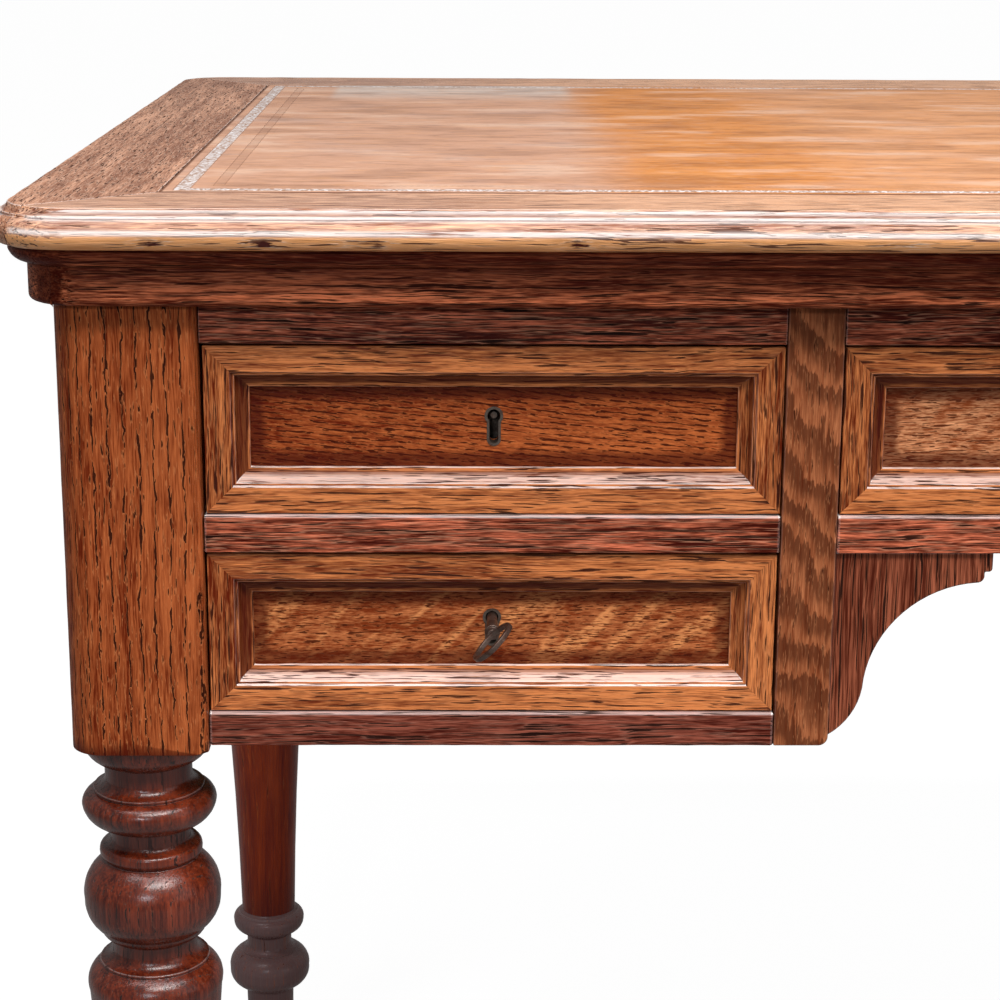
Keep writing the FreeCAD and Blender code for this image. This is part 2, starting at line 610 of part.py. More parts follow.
DRAWERS = [
    ("upper_left", "-block_in", "-stile_out", "middle_top", "bay_top", "drawer_shift"),
    ("lower_left", "-block_in", "-stile_out", "lower_floor", "middle_under", "0"),
    ("centre", "-stile_in", "stile_in", "middle_top", "bay_top", "0"),
    ("upper_right", "stile_out", "block_in", "middle_top", "bay_top", "0"),
    ("lower_right", "stile_out", "block_in", "lower_floor", "middle_under", "0"),
]


def moulded_strip(name, length, x, z, quarters):
    """One mitred strip lying along its own X, outer edge down, turned into its place."""
    wide = "(strip_flat + strip_mould)"
    body = doc.addObject("PartDesign::Body", name)
    face = sketch_on(body, name + "_face", "XZ_Plane", "0")
    outline(face, [("-(%s) / 2" % length, "0", 0), ("(%s) / 2" % length, "0", 0),
                   ("(%s) / 2 - %s" % (length, wide), wide, 0), ("-(%s) / 2 + %s" % (length, wide), wide, 0)])
    pad = body.newObject("PartDesign::Pad", name + "_pad")
    pad.Profile = face
    pad.Reversed = True
    bind(pad, Length="strip_thick")
    section = sketch_on(body, name + "_mould", "YZ_Plane", "-(%s) / 2 - cut_over" % length)
    outline(section, [
        ("-cut_over", "strip_flat", 0), ("strip_drop", "strip_flat", 0),
        ("strip_drop", "strip_flat + strip_bead", 0),
        ("strip_thick - strip_edge", "%s - strip_lip" % wide, QUARTER_SHARE),
        ("strip_thick - strip_edge", "%s + cut_over" % wide, 0), ("-cut_over", "%s + cut_over" % wide, 0)])
    pocket = body.newObject("PartDesign::Pocket", name + "_sunk")
    pocket.Profile = section
    pocket.Reversed = True
    bind(pocket, Length="(%s) + 2 * cut_over" % length)
    arris = sketch_on(body, name + "_arris", "YZ_Plane", "-(%s) / 2 - cut_over" % length)
    outline(arris, [
        ("-cut_over", "-cut_over", 0), ("strip_ease", "-cut_over", 0), ("strip_ease", "0", 0),
        ("0", "strip_ease", -QUARTER_SHARE), ("-cut_over", "strip_ease", 0)])
    eased = body.newObject("PartDesign::Pocket", name + "_eased")
    eased.Profile = arris
    eased.Reversed = True
    bind(eased, Length="(%s) + 2 * cut_over" % length)
    body.Placement = FreeCAD.Placement(
        FreeCAD.Vector(), FreeCAD.Rotation(FreeCAD.Vector(0, -1, 0), QUARTER_TURN * quarters))
    move(body, x, "strip_face", z)
    return body


def keyhole(name, radius, half, up, down, x, z, y0, y1):
    """Round-headed keyhole shape, round at its foot, in the plane of the drawer's front."""
    side_up = "(%s) - (%s) - sqrt((%s)^2 - (%s)^2)" % (up, radius, radius, half)
    points = [(half, side_up, 0), ("0", up, KEYHOLE_HEAD_SHARE),
              ("-(%s)" % half, side_up, KEYHOLE_HEAD_SHARE),
              ("-(%s)" % half, "-(%s) + (%s)" % (down, half), 0), ("0", "-(%s)" % down, QUARTER_SHARE),
              (half, "-(%s) + (%s)" % (down, half), QUARTER_SHARE)]
    points = [("(%s) + (%s)" % (x, px), "(%s) + (%s)" % (z, pz), share) for px, pz, share in points]
    return prism(name, "XZ_Plane", points, y0, y1)


strikes = {"upper_rail": [], "middle_rail": []}
for name, bay_left, bay_right, floor, ceiling, shift in DRAWERS:
    x0, x1 = "%s + side_gap + %s" % (bay_left, shift), "%s - side_gap + %s" % (bay_right, shift)
    z0, z1 = floor + " + gap_under", ceiling + " - gap_over"
    mid_x = "((%s) + (%s)) / 2" % (x0, x1)
    mid_z = "((%s) + (%s)) / 2" % (z0, z1)
    wide, high = "((%s) - (%s))" % (x1, x0), "((%s) - (%s))" % (z1, z0)
    strips = [moulded_strip(name + "_strip_bottom", wide, mid_x, z0, 0),
              moulded_strip(name + "_strip_right", high, x1, mid_z, 1),
              moulded_strip(name + "_strip_top", wide, mid_x, z1, 2),
              moulded_strip(name + "_strip_left", high, x0, mid_z, 3)]
    node(name + "_moulding", group(name + "_strips", strips))

    # lock: case let in from behind, plate over it, selvedge on the top edge, keyhole liner, pin
    pin_z = "(%s) + liner_up - liner_radius" % mid_z
    case_foot = "(%s) - case_high" % z1
    case_box = block(name + "_case_box", mid_x + " - case_wide / 2", mid_x + " + case_wide / 2",
                     "case_front", "board_rear", case_foot, z1)
    hollow = block(name + "_case_hollow", mid_x + " - case_wide / 2 + case_wall",
                   mid_x + " + case_wide / 2 - case_wall", "case_front + case_wall",
                   "board_rear", case_foot + " + case_wall", z1 + " - selvedge_thick")
    plate_box = block(name + "_plate", mid_x + " - case_wide / 2 - plate_margin",
                      mid_x + " + case_wide / 2 + plate_margin", "board_rear",
                      "board_rear + plate_thick", case_foot + " - plate_margin", z1)
    selvedge = block(name + "_selvedge", mid_x + " - selvedge_wide / 2", mid_x + " + selvedge_wide / 2",
                     "board_rear - selvedge_deep", "board_rear", z1 + " - selvedge_thick", z1)
    liner = keyhole(name + "_liner_outer", "liner_radius", "liner_half", "liner_up", "liner_down",
                    mid_x, mid_z, "board_face - liner_proud", "board_face + liner_long")
    keyway = keyhole(name + "_keyway", "liner_radius - liner_wall", "liner_half - liner_wall",
                     "liner_up - liner_wall", "liner_down - liner_wall", mid_x, mid_z,
                     "board_face - cut_over", "case_front + case_wall + keyway_clear")
    pin = rod(name + "_pin", "pin_radius", "board_rear - board_face - pin_nose", mid_x,
              "board_face + pin_nose", pin_z, "y")
    bolt = block(name + "_bolt_bar", mid_x + " - bolt_wide / 2", mid_x + " + bolt_wide / 2",
                 "bolt_y", "bolt_y + bolt_thick", pin_z + " + bolt_tail", z1 + " - bolt_sink")
    bolt_way = block(name + "_bolt_way", mid_x + " - bolt_wide / 2 - bolt_gap",
                     mid_x + " + bolt_wide / 2 + bolt_gap", "bolt_y - bolt_gap",
                     "bolt_y + bolt_thick + bolt_gap", z1 + " - selvedge_thick - cut_over",
                     z1 + " + cut_over")
    screws, shanks = [], []
    for across_sign, word in (("-", "near"), ("+", "far")):
        for up_sign, row in (("-", "low"), ("+", "high")):
            sx = "%s %s (case_wide + plate_margin) / 2" % (mid_x, across_sign)
            sz = "%s - case_high / 2 %s case_high * %s" % (z1, up_sign, SCREW_ROW_SHARE)
            shank = rod("%s_%s_%s_shank" % (name, word, row), "screw_radius", "screw_long + plate_thick",
                        sx, "board_rear - screw_long", sz, "y")
            head = rod("%s_%s_%s_head" % (name, word, row), "screw_head", "screw_head_thick",
                       sx, "board_rear + plate_thick", sz, "y")
            shanks.append(shank)
            screws.append(fuse("%s_%s_%s_screw" % (name, word, row), shank, head))
    shank_set = group(name + "_shanks", shanks)
    case = cut(name + "_case_open", fuse(name + "_case_whole", case_box, selvedge), hollow)
    case = cut(name + "_case_slot", case, bolt_way)
    case = cut(name + "_case_keyway", case, keyway)
    case = cut(name + "_case_pinned", case, pin)
    cover = cut(name + "_cover", plate_box, shank_set)
    ring = cut(name + "_liner", liner, keyway)
    lock_parts = [case, cover, ring, pin] + screws

    bottom = block(name + "_bottom_board", x0 + " + box_inset + board_thick - groove",
                   x1 + " - box_inset - board_thick + groove", "board_rear - groove", "box_rear",
                   z0 + " + bottom_up", z0 + " + bottom_up + bottom_thick")
    front = block(name + "_front_board", x0, x1, "board_face", "board_rear", z0, z1)
    front = cut(name + "_front_mortise", front, group(name + "_lock_space", [case_box, selvedge]))
    front = cut(name + "_front_keyed", front, liner)
    front = cut(name + "_front_way", front, keyway)
    front = cut(name + "_front_screwed", front, shank_set)
    front = cut(name + "_front_grooved", front, bottom)
    node(name + "_front", front)
    walls = []
    for word, low, far in (("near", x0 + " + box_inset", x0 + " + box_inset + board_thick"),
                           ("far", x1 + " - box_inset - board_thick", x1 + " - box_inset")):
        wall = block("%s_%s_side" % (name, word), low, far, "board_rear", "box_rear", z0, z1 + " - side_drop")
        walls.append(cut("%s_%s_side_grooved" % (name, word), wall, bottom))
    walls.append(block(name + "_rear_board", x0 + " + box_inset + board_thick",
                       x1 + " - box_inset - board_thick", "box_rear - board_thick", "box_rear",
                       z0 + " + bottom_up + bottom_thick", z1 + " - side_drop"))
    node(name + "_box", group(name + "_walls", walls))
    node(name + "_bottom", bottom)
    node(name + "_lock", group(name + "_lock_set", lock_parts))
    node(name + "_bolt", bolt)
    strike = block(name + "_strike", mid_x + " - bolt_wide / 2 - strike_gap",
                   mid_x + " + bolt_wide / 2 + strike_gap", "bolt_y - strike_gap",
                   "bolt_y + bolt_thick + strike_gap", ceiling + " - cut_over",
                   ceiling + " + bolt_travel + strike_gap")
    strikes["upper_rail" if ceiling == "bay_top" else "middle_rail"].append(strike)

# The rails take the bolts in a mortise each

for level_name, z0, z1, bays in LEVELS:
    parts = [front_rails[level_name, bay] for bay in bays]
    if level_name in strikes:
        tools = strikes[level_name]
        parts = [cut("%s_%s_struck" % (bay, level_name), front_rails[level_name, bay],
                     group("%s_%s_strikes" % (bay, level_name), tools)) for bay in bays]
    node(level_name + "s", group(level_name + "_set", parts))

# Runners with their guides and stops, and kickers over the upper drawers, let in round the legs

# the wall that stands outside each side of a bay
WALL_BESIDE = {"-block_in": "-side_inner", "block_in": "side_inner", "-stile_out": "-partition_out",
               "stile_out": "partition_out", "-stile_in": "-partition_in", "stile_in": "partition_in"}
runner_parts = []


def slide_way(name, x_span, y0, y1, z0, z1):
    bar = block(name + "_bar", x_span[0], x_span[1], y0, y1, z0, z1)
    runner_parts.append(cut(name, bar, leg_seats))


for name, bay_left, bay_right, floor, ceiling, shift in DRAWERS:
    under = {"middle_top": "middle_under", "lower_floor": "case_under"}[floor]
    for word, edge_x, inward in (("near", bay_left, "+"), ("far", bay_right, "-")):
        tag = "%s_%s" % (name, word)
        wall_x, inner_x = WALL_BESIDE[edge_x], "%s %s runner_width" % (edge_x, inward)
        run = (wall_x, inner_x) if word == "near" else (inner_x, wall_x)
        guide = (wall_x, edge_x) if word == "near" else (edge_x, wall_x)
        slide_way(tag + "_runner", run, "frame_rear", "back_inner", under, floor)
        slide_way(tag + "_guide", guide, "frame_rear", "back_inner", floor, floor + " + guide_high")
        stop = (edge_x, inner_x) if word == "near" else (inner_x, edge_x)
        slide_way(tag + "_stop", stop, "box_rear + stop_gap", "box_rear + stop_gap + stop_long",
                  floor, floor + " + stop_high")
        if ceiling == "bay_top":
            slide_way(tag + "_kicker", run, "frame_rear", "back_inner", "bay_top", "bay_top + kicker_high")
node("drawer_runners", group("runner_set", runner_parts))

# Key in the lower left lock: hollow shank over the pin, bit, collar and ring bow

name, bay_left, bay_right, floor, ceiling, shift = DRAWERS[1]
key_x = "((%s) + (%s)) / 2" % (bay_left, bay_right)
key_z = "((%s) + gap_under + (%s) - gap_over) / 2 + liner_up - liner_radius" % (floor, ceiling)
key_end = "board_rear - case_wall"
key_tip = "board_face - key_out"
shank = rod("key_shank", "key_radius - key_clear", "board_rear - board_face + key_out - case_wall",
            "0", key_tip, "0", "y")
bore = rod("key_bore_hole", "key_bore", "board_rear - board_face - pin_nose + key_bore_end", "0",
           "board_face + pin_nose - key_bore_end", "0", "y")
collar = rod("key_collar", "collar_radius", "collar_long", "0", "board_face - collar_at", "0", "y")
bit = block("key_bit", "-bit_thick / 2", "bit_thick / 2", key_end + " - bit_deep", key_end,
            "-key_radius - bit_long", "-key_bore - key_clear")
bow = doc.addObject("PartDesign::Body", "key_bow")
bow_face = sketch_on(bow, "key_bow_face", "YZ_Plane", "-bow_wire")
for grow in ("0", "-2 * bow_wire"):
    half, across_half = "(bow_half + %s)" % grow, "(bow_across + %s)" % grow
    middle = "(%s - bow_across + bow_wire)" % key_tip
    outline(bow_face, [(middle, "-" + half, BOW_SHARE), (middle + " + " + across_half, "0", BOW_SHARE),
                       (middle, half, BOW_SHARE), (middle + " - " + across_half, "0", BOW_SHARE)])
bow_pad = bow.newObject("PartDesign::Pad", "key_bow_pad")
bow_pad.Profile = bow_face
bind(bow_pad, Length="2 * bow_wire")
key_whole = cut("key_bored", fuse("key_solid", shank, collar, bit, bow), bore)
key_whole.Placement = FreeCAD.Placement(
    FreeCAD.Vector(), FreeCAD.Rotation(FreeCAD.Vector(0, 1, 0), QUARTER_TURN / 2))
move(key_whole, key_x, "0", key_z)
node("key", key_whole)

# Buttons under the top, screwed up into it

button_parts, button_screws = [], []
for word, sign in HANDS:
    for mark, y0, y1 in (("front", "frame_rear", "frame_rear + button_deep"),
                         ("back", "back_inner - button_deep", "back_inner")):
        for place in ("stile_in / 2", "leather_side - button_inset"):
            mid = "%s(%s)" % (sign, place)
            tag = "%s_%s_%s" % (word, mark, "inner" if place.startswith("stile") else "outer")
            cleat = block(tag + "_cleat", mid + " - button_wide / 2", mid + " + button_wide / 2",
                          y0, y1, "slab_under - button_high", "slab_under")
            screw = rod(tag + "_screw", "screw_radius", "button_high + screw_long", mid,
                        "(%s + %s) / 2" % (y0, y1), "slab_under - button_high", None)
            button_screws.append(screw)
            button_parts.append(cut(tag + "_button", cleat, screw))
node("top_buttons", group("button_set", button_parts + button_screws))
node("top_panel", cut("ground_screwed", ground_whole, group("button_screw_set", button_screws)))

doc.recompute()

failed = [thing.Name for thing in doc.Objects if "Invalid" in thing.State or "Error" in thing.State]
assert not failed, "objects failed: %s" % failed
assert len(nodes) <= 60, "too many nodes: %d" % len(nodes)
os.makedirs("parts", exist_ok=True)
for name, thing in nodes.items():
    shape = thing.Shape
    assert not shape.isNull() and shape.isValid() and shape.Solids, "bad shape: " + name
for name, thing in nodes.items():
    thing.Shape.exportStep("parts/%s.step" % name)
print("%d nodes, %d solids" % (len(nodes), sum(len(thing.Shape.Solids) for thing in nodes.values())))
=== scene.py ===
import json
import math
import random

import bpy
import numpy as np
from mathutils import Matrix, Vector

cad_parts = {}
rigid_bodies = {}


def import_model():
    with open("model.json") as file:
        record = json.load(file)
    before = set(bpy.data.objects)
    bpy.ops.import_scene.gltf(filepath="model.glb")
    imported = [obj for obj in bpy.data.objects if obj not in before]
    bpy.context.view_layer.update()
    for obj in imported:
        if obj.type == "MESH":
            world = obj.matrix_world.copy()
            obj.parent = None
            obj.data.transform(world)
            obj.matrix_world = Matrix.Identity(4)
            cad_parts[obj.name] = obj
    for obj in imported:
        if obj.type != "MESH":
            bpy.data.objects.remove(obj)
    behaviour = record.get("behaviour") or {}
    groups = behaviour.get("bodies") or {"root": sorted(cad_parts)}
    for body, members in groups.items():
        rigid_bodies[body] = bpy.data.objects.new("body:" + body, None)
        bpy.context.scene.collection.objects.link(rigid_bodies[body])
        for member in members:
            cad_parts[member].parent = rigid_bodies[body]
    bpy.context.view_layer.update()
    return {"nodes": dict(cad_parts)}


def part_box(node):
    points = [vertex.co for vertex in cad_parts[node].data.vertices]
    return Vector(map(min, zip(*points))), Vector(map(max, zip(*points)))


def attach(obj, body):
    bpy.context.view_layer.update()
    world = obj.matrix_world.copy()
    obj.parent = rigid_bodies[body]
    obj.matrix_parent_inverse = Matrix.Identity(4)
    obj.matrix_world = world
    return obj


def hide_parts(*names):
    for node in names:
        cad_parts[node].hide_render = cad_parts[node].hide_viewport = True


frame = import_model()

bl_info = {
    "name": "Kneehole writing desk",
    "version": (1, 0, 0),
    "blender": (4, 5, 0),
    "location": "View3D > Sidebar > Desk",
    "description": "Oak writing desk with a leather top, moulded drawers and turned legs",
    "category": "Object",
}

MM = 0.001
MERGE_GAP = 0.001 * MM
NEAR = 0.01 * MM
UPRIGHT_SHARE = 0.5
UNDERSIDE_SHARE = -0.2
LEATHER_CUTS = 40
HOLLOW_STEPS = 7
FLAT_TURN = math.radians(0.6)
ARRIS_TURN = math.radians(36)
SMOOTH_TURN = math.radians(42)
DRAWERS = ("upper_left", "lower_left", "centre", "upper_right", "lower_right")
LEGS = ("front_left", "front_right", "back_right", "back_left")
TOP_SIDES = ("front", "right", "back", "left")
AXES = {"x": 0, "y": 1, "z": 2}
PANEL_LOOKS = {"upper": "panel_oak", "lower": "flecked_oak", "centre": "centre_oak"}

# Knots of the front edge: place along it and half width, in metres
KNOTS = ((-0.592, 0.012), (-0.543, 0.010), (-0.498, 0.014), (-0.407, 0.011), (-0.262, 0.009),
         (-0.114, 0.012), (0.037, 0.010), (0.208, 0.013), (0.391, 0.011), (0.533, 0.012))

# Painted highlights: bright lines painted along the moulded edge where it catches the light; depth under
# the top, half width and brightness
PAINTED_HIGHLIGHT_LINES = ((1.4 * MM, 1.6 * MM, 0.88), (4.3 * MM, 1.5 * MM, 1.0), (10.1 * MM, 1.7 * MM, 1.0))

# Distance between the cuts across the finer pieces
TOP_CUTS = 3 * MM
RAIL_CUTS = 6 * MM
STRIP_CUTS = 7 * MM

# Wear of each kind of piece: size of its patches and share of the worn depth
WEAR = {"top": (12 * MM, 1.0), "frieze": (25 * MM, 0.7), "rail": (14 * MM, 1.0), "stile": (25 * MM, 0.6),
        "leg": (18 * MM, 0.6), "moulding": (14 * MM, 0.7)}

# Radius of a bend that counts as a full hollow, and how often it is spread to what lies beside it
HOLLOWS = {"leather": (1.2 * MM, 0), "top": (2 * MM, 1), "frieze": (3 * MM, 2), "leg": (3 * MM, 3),
           "moulding": (8 * MM, 1)}
HOLLOW_REACH = 6 * MM
LEAST_WEIGHT = 1e-9

# Normals that lean upwards this far begin to be lit: arrises that look up get more pale wear and painted
# highlight, and such faces painted light; over this span more get it fully
LIT_AND_RUBBED_START_SHARE = 0.1
LIT_AND_RUBBED_SPAN_SHARE = 0.6
LEAST_WORN_SHARE = 0.08

# The log that the boards are sawn from: each takes its grain from another place in it, in metres
LOG_LENGTH = 4
LOG_RADIUS = 0.5

# Tones from dark, 0, to light, 1, of the faces of a piece
STRIP_TONES = {"left": 0.0, "right": 0.45, "bottom": 1.0, "top": 0.5}
# The frieze's underside is painted darker, as shade
FRIEZE_SHADE_TONES = {"underside": 0, "front": 0.6}
RAIL_TONES = {"kneehole": 0.7, "drawers": 0.15}
# Painted light on the top's moulded edge: its lower round is painted lighter and more orange, its upper
# part darker
EDGE_LIGHT_TONES = {"round": 1, "hollow": 0}
# Tone of each part of a leg; on the back legs the feet take a greyish glaze as a painted sheen
LEG_TONES = {"block": 0.6, "foot": 1, "front": 0.5, "back": 0}

# The top's front board is lightest in its middle: its tone falls with the distance from there, in metres
TOP_TONE_LEAST = 0.15
TOP_TONE_RISE = 0.55
TOP_TONE_START = 2.6
TOP_TONE_FALL = 5.2

# Painted light: the upper drawers' boards are painted lighter from left to right, as the light falls on
# them
BOARD_LIGHT_START = -0.4
BOARD_LIGHT_RISE = 1.3

# Painted shade in a corner, as shares of a full hollow; the strip at the right keeps this share of its
# painted shade
UNDER_TOP_SHADE_SHARE = 0.32
FRIEZE_END_SHADE_SHARE = 0.45
BLOCK_FOOT_SHADE_SHARE = 0.42
RIGHT_STRIP_SHADE_SHARE = 0.3

# How fast the shade beside a moulding falls off
RIM_POWER = 1.5


# Sizes and colours that a user would change

def length(name, text, value):
    return bpy.props.FloatProperty(name=name, description=text, default=value, unit="LENGTH", precision=5)


def share(name, text, value):
    return bpy.props.FloatProperty(name=name, description=text, default=value, min=0, max=1)


def colour(name, text, value):
    return bpy.props.FloatVectorProperty(
        name=name, description=text, default=value, subtype="COLOR", size=3, min=0, max=1)


def angle(name, text, degrees):
    return bpy.props.FloatProperty(
        name=name, description=text, default=math.radians(degrees), subtype="ANGLE", unit="ROTATION")


def watts(name, text, value):
    return bpy.props.FloatProperty(name=name, description=text, default=value, subtype="POWER")


class DeskSizes(bpy.types.PropertyGroup):
    arris: length("Arris", "Width of the worn edge of a board", 0.7 * MM)
    rail_arris: length("Rail arris", "Width of the worn edges of the front rails", 1.3 * MM)
    key_arris: length("Key arris", "Width of the rounded edges of the key", 0.4 * MM)
    small_arris: length("Small arris", "Width of the worn edge of a thin moulding", 0.35 * MM)
    worn_depth: length("Worn depth", "How far years of use have worn a surface in", 0.5 * MM)
    cut_spacing: length("Cut spacing", "Distance between the cuts that let an edge wander", 9 * MM)
    strip_flat: length("Strip flat", "Flat of a drawer's moulded strip", 12.9 * MM)
    strip_drop: length("Strip drop", "Step down from the flat to the bead", 1.4 * MM)
    strip_bead: length("Strip bead", "Width of the bead", 1.5 * MM)
    strip_lip: length("Strip lip", "Width of the lip at the foot of the hollow", 1.5 * MM)
    strip_wide: length("Strip width", "Width of the whole moulded strip", 20.9 * MM)
    strip_edge: length("Strip edge", "Height of the lip over the drawer's board", 2.3 * MM)
    strip_draft: length("Strip draft", "How far the upright walls lean", 0.12 * MM)
    leather_gap: length("Leather gap", "Gap between the leather and its frame", 0.5 * MM)
    band_in: length("Band in", "Distance from the leather's edge to the silvered band", 6 * MM)
    band_wide: length("Band width", "Width of the silvered band", 7.5 * MM)
    chain_in: length("Chain in", "Distance from the leather's edge to the inner border", 23 * MM)
    chain_wide: length("Chain width", "Width of the inner border", 5 * MM)
    crease_wide: length("Crease width", "Half width of a tooled line", 0.45 * MM)
    crease_deep: length("Crease depth", "Depth of a tooled line", 0.22 * MM)
    leather_rim: length("Leather rim", "Rounded rim outside the first tooled line", 0.8 * MM)
    leather_field: length("Leather field", "Margin inside the inner border", 3 * MM)
    leather_swell: length("Leather swell", "How unevenly the leather lies", 0.15 * MM)
    swell_wide: length("Swell width", "Size of the uneven patches of the leather", 60 * MM)
    # How far in from the nose the painted highlights reach
    painted_highlight_reach: length("Gleam reach", "How far in from the nose the edge is rubbed bright", 9.2 * MM)
    torus_middle: length("Round's middle", "Middle of the round edge over the top's underside", 6.5 * MM)
    turned_reach: length("Turned reach", "Radius that only a leg's square block goes past", 40 * MM)
    ring_height: length("Ring height", "Height of the ring under a leg's shaft", 130 * MM)
    bed_fall: length("Bed mould", "Height of the small moulding under the top", 7 * MM)
    knot_up: length("Knot height", "Middle of the knots above the underside of the top", 4 * MM)
    knot_high: length("Knot size", "Half height of a knot", 3.4 * MM)
    knot_deep: length("Knot depth", "How far a knot is sunk", 1.3 * MM)
    knot_reach: length("Knot reach", "How far back from the nose the knots are cut", 6 * MM)
    end_shadow: length("End shadow", "Dark reach at the ends of the frieze", 13 * MM)
    # Reach of the painted shade beside a moulding
    mould_shadow: length("Dirt reach", "How far wax and dust gather beside a moulding", 9 * MM)


class DeskColours(bpy.types.PropertyGroup):
    leather: colour("Leather", "Honey brown of the leather", (0.60, 0.195, 0.030))
    leather_light: colour("Light leather", "Lighter streaks of the leather", (0.84, 0.39, 0.13))
    # Also the colour of the painted sheen at the left end
    leather_pale: colour("Pale leather", "Rubbed and faded leather", (0.62, 0.37, 0.27))
    # Greyish colour of the painted window reflection at the back
    window_reflection: colour("Bleached leather", "Patch at the back where the colour has gone", (0.66, 0.58, 0.52))
    # Also the colour of the painted sheen at the right end
    leather_bloom: colour("Bloom", "Rubbed pinkish patches of the leather", (0.86, 0.61, 0.46))
    leather_dark: colour("Dark leather", "Leather in the creases", (0.16, 0.055, 0.022))
    silver: colour("Silvered band", "Tarnished tooling of the band", (0.86, 0.82, 0.82))
    tarnish: colour("Tarnish", "Dark spots of the silvered band", (0.24, 0.13, 0.075))
    rust: colour("Rust", "Patches of rust on the steel", (0.07, 0.024, 0.012))
    dark_steel: colour("Dark steel", "Fine dark marks of the steel", (0.03, 0.024, 0.020))
    # Dark colour of old wax in the hollows; it also paints the shade in hollows, corners and gaps
    wax: colour("Old wax", "Wax and dust in the hollows", (0.062, 0.004, 0.001))
    # Colour of the highlights painted along the moulded edge
    gleam: colour("Gleam", "Rubbed bright lines along the moulded edge", (0.98, 0.90, 0.86))
    # Near-white colour of the arrises, partly worn wood and partly a painted highlight, and of the painted
    # light on faces that look up
    worn: colour("Worn wood", "Bare wood on the arrises", (0.97, 0.90, 0.87))


class StageSizes(bpy.types.PropertyGroup):
    camera_place: bpy.props.FloatVectorProperty(
        name="Camera", description="Where the camera stands", default=(-0.4526, -1.3728, 0.90695),
        subtype="TRANSLATION", unit="LENGTH", size=3)
    camera_pitch: angle("Pitch", "How far the camera looks down", 14.8886)
    camera_yaw: angle("Yaw", "Turn of the camera about the vertical", -0.7554)
    camera_roll: angle("Roll", "Tilt of the picture", 0.3032)
    camera_lens: bpy.props.FloatProperty(
        name="Lens", description="Focal length in millimetres on a 36 mm sensor", default=83.03)
    key_power: watts("Key lamp", "Watts of the large lamp", 66)
    strip_power: watts("Strip lamp", "Watts of the long lamp overhead", 19)
    fill_power: watts("Fill lamp", "Watts of the broad lamp at the right", 7)
    spark_power: watts("Spark lamp", "Watts of the small lamp over the camera", 12)
    sky: share("Sky", "Strength of the even light from all round", 0.14)
    floor: colour("Floor", "Colour of the pale floor", (0.25, 0.25, 0.25))
    mirrored: share("Mirrored", "Share of the white surroundings that polish and metal mirror", 0.2)
    floor_glow: share("Floor glow", "Share of white that the floor shows in its own shadow", 0.95)


# Work on meshes

def select_only(piece):
    if bpy.context.object and bpy.context.object.mode != "OBJECT":
        bpy.ops.object.mode_set(mode="OBJECT")
    bpy.ops.object.select_all(action="DESELECT")
    piece.select_set(True)
    bpy.context.view_layer.objects.active = piece


def copy_of(name, *nodes):
    """Copy of nodes of the construction as one new piece, with its triangles merged into flat faces."""
    bpy.ops.object.select_all(action="DESELECT")
    for node in nodes:
        frame["nodes"][node].select_set(True)
    bpy.context.view_layer.objects.active = frame["nodes"][nodes[0]]
    bpy.ops.object.duplicate()
    if len(nodes) > 1:
        bpy.ops.object.join()
    piece = bpy.context.object
    bpy.ops.object.parent_clear(type="CLEAR_KEEP_TRANSFORM")
    for key in list(piece.keys()):
        del piece[key]
    piece.name = piece.data.name = name
    piece.data.materials.clear()
    bpy.ops.mesh.customdata_custom_splitnormals_clear()
    bpy.ops.object.mode_set(mode="EDIT")
    bpy.ops.mesh.select_all(action="SELECT")
    bpy.ops.mesh.remove_doubles(threshold=MERGE_GAP)
    bpy.ops.mesh.dissolve_limited(angle_limit=FLAT_TURN)
    bpy.ops.object.mode_set(mode="OBJECT")
    return piece


def board(name, low, high):
    """Sawn board between two corners, still without its worn arrises."""
    low, high = Vector(low), Vector(high)
    bpy.ops.object.select_all(action="DESELECT")
    bpy.ops.mesh.primitive_cube_add(size=1, location=(low + high) / 2)
    piece = bpy.context.object
    piece.scale = high - low
    bpy.ops.object.transform_apply(location=True, rotation=True, scale=True)
    piece.name = piece.data.name = name
    return piece


def clear_selection(kind):
    """Select nothing on the active piece, and choose vertices, edges or faces to work on."""
    bpy.ops.object.mode_set(mode="EDIT")
    bpy.ops.mesh.select_mode(type=kind)
    bpy.ops.mesh.select_all(action="DESELECT")
    bpy.ops.object.mode_set(mode="OBJECT")


def cut_along(piece, axis, spacing, least_share=0.35, along_share=0.97):
    """Divide the long edges that run along one axis, so that the faces between them can wander."""
    select_only(piece)
    mesh = piece.data
    spans = [mesh.vertices[b].co - mesh.vertices[a].co for a, b in (edge.vertices for edge in mesh.edges)]
    runs = [abs(span[AXES[axis]]) if abs(span[AXES[axis]]) > along_share * span.length else 0
            for span in spans]
    longest = max(runs)
    clear_selection("EDGE")
    for edge, run in zip(mesh.edges, runs):
        edge.select = run > least_share * longest
    bpy.ops.object.mode_set(mode="EDIT")
    bpy.ops.mesh.subdivide(number_cuts=max(2, int(longest / spacing)))
    bpy.ops.object.mode_set(mode="OBJECT")


def apply_modifier(piece, kind, **settings):
    select_only(piece)
    modifier = piece.modifiers.new(kind.lower(), kind)
    for key, value in settings.items():
        setattr(modifier, key, value)
    bpy.ops.object.modifier_apply(modifier=modifier.name)


def weather(piece, depth, patch):
    """Wear the surface in by an uneven depth; the patches have about the given size."""
    cloud = bpy.data.textures.new(piece.name + "_wear", "CLOUDS")
    cloud.noise_scale = patch
    cloud.noise_depth = 2
    apply_modifier(piece, "DISPLACE", texture=cloud, strength=depth, mid_level=1.0, direction="NORMAL")
    bpy.data.textures.remove(cloud)


def wear(piece, kind):
    """Wear the surface in as is usual for this kind of piece."""
    patch, depth_share = WEAR[kind]
    weather(piece, bpy.context.scene.desk_sizes.worn_depth * depth_share, patch)


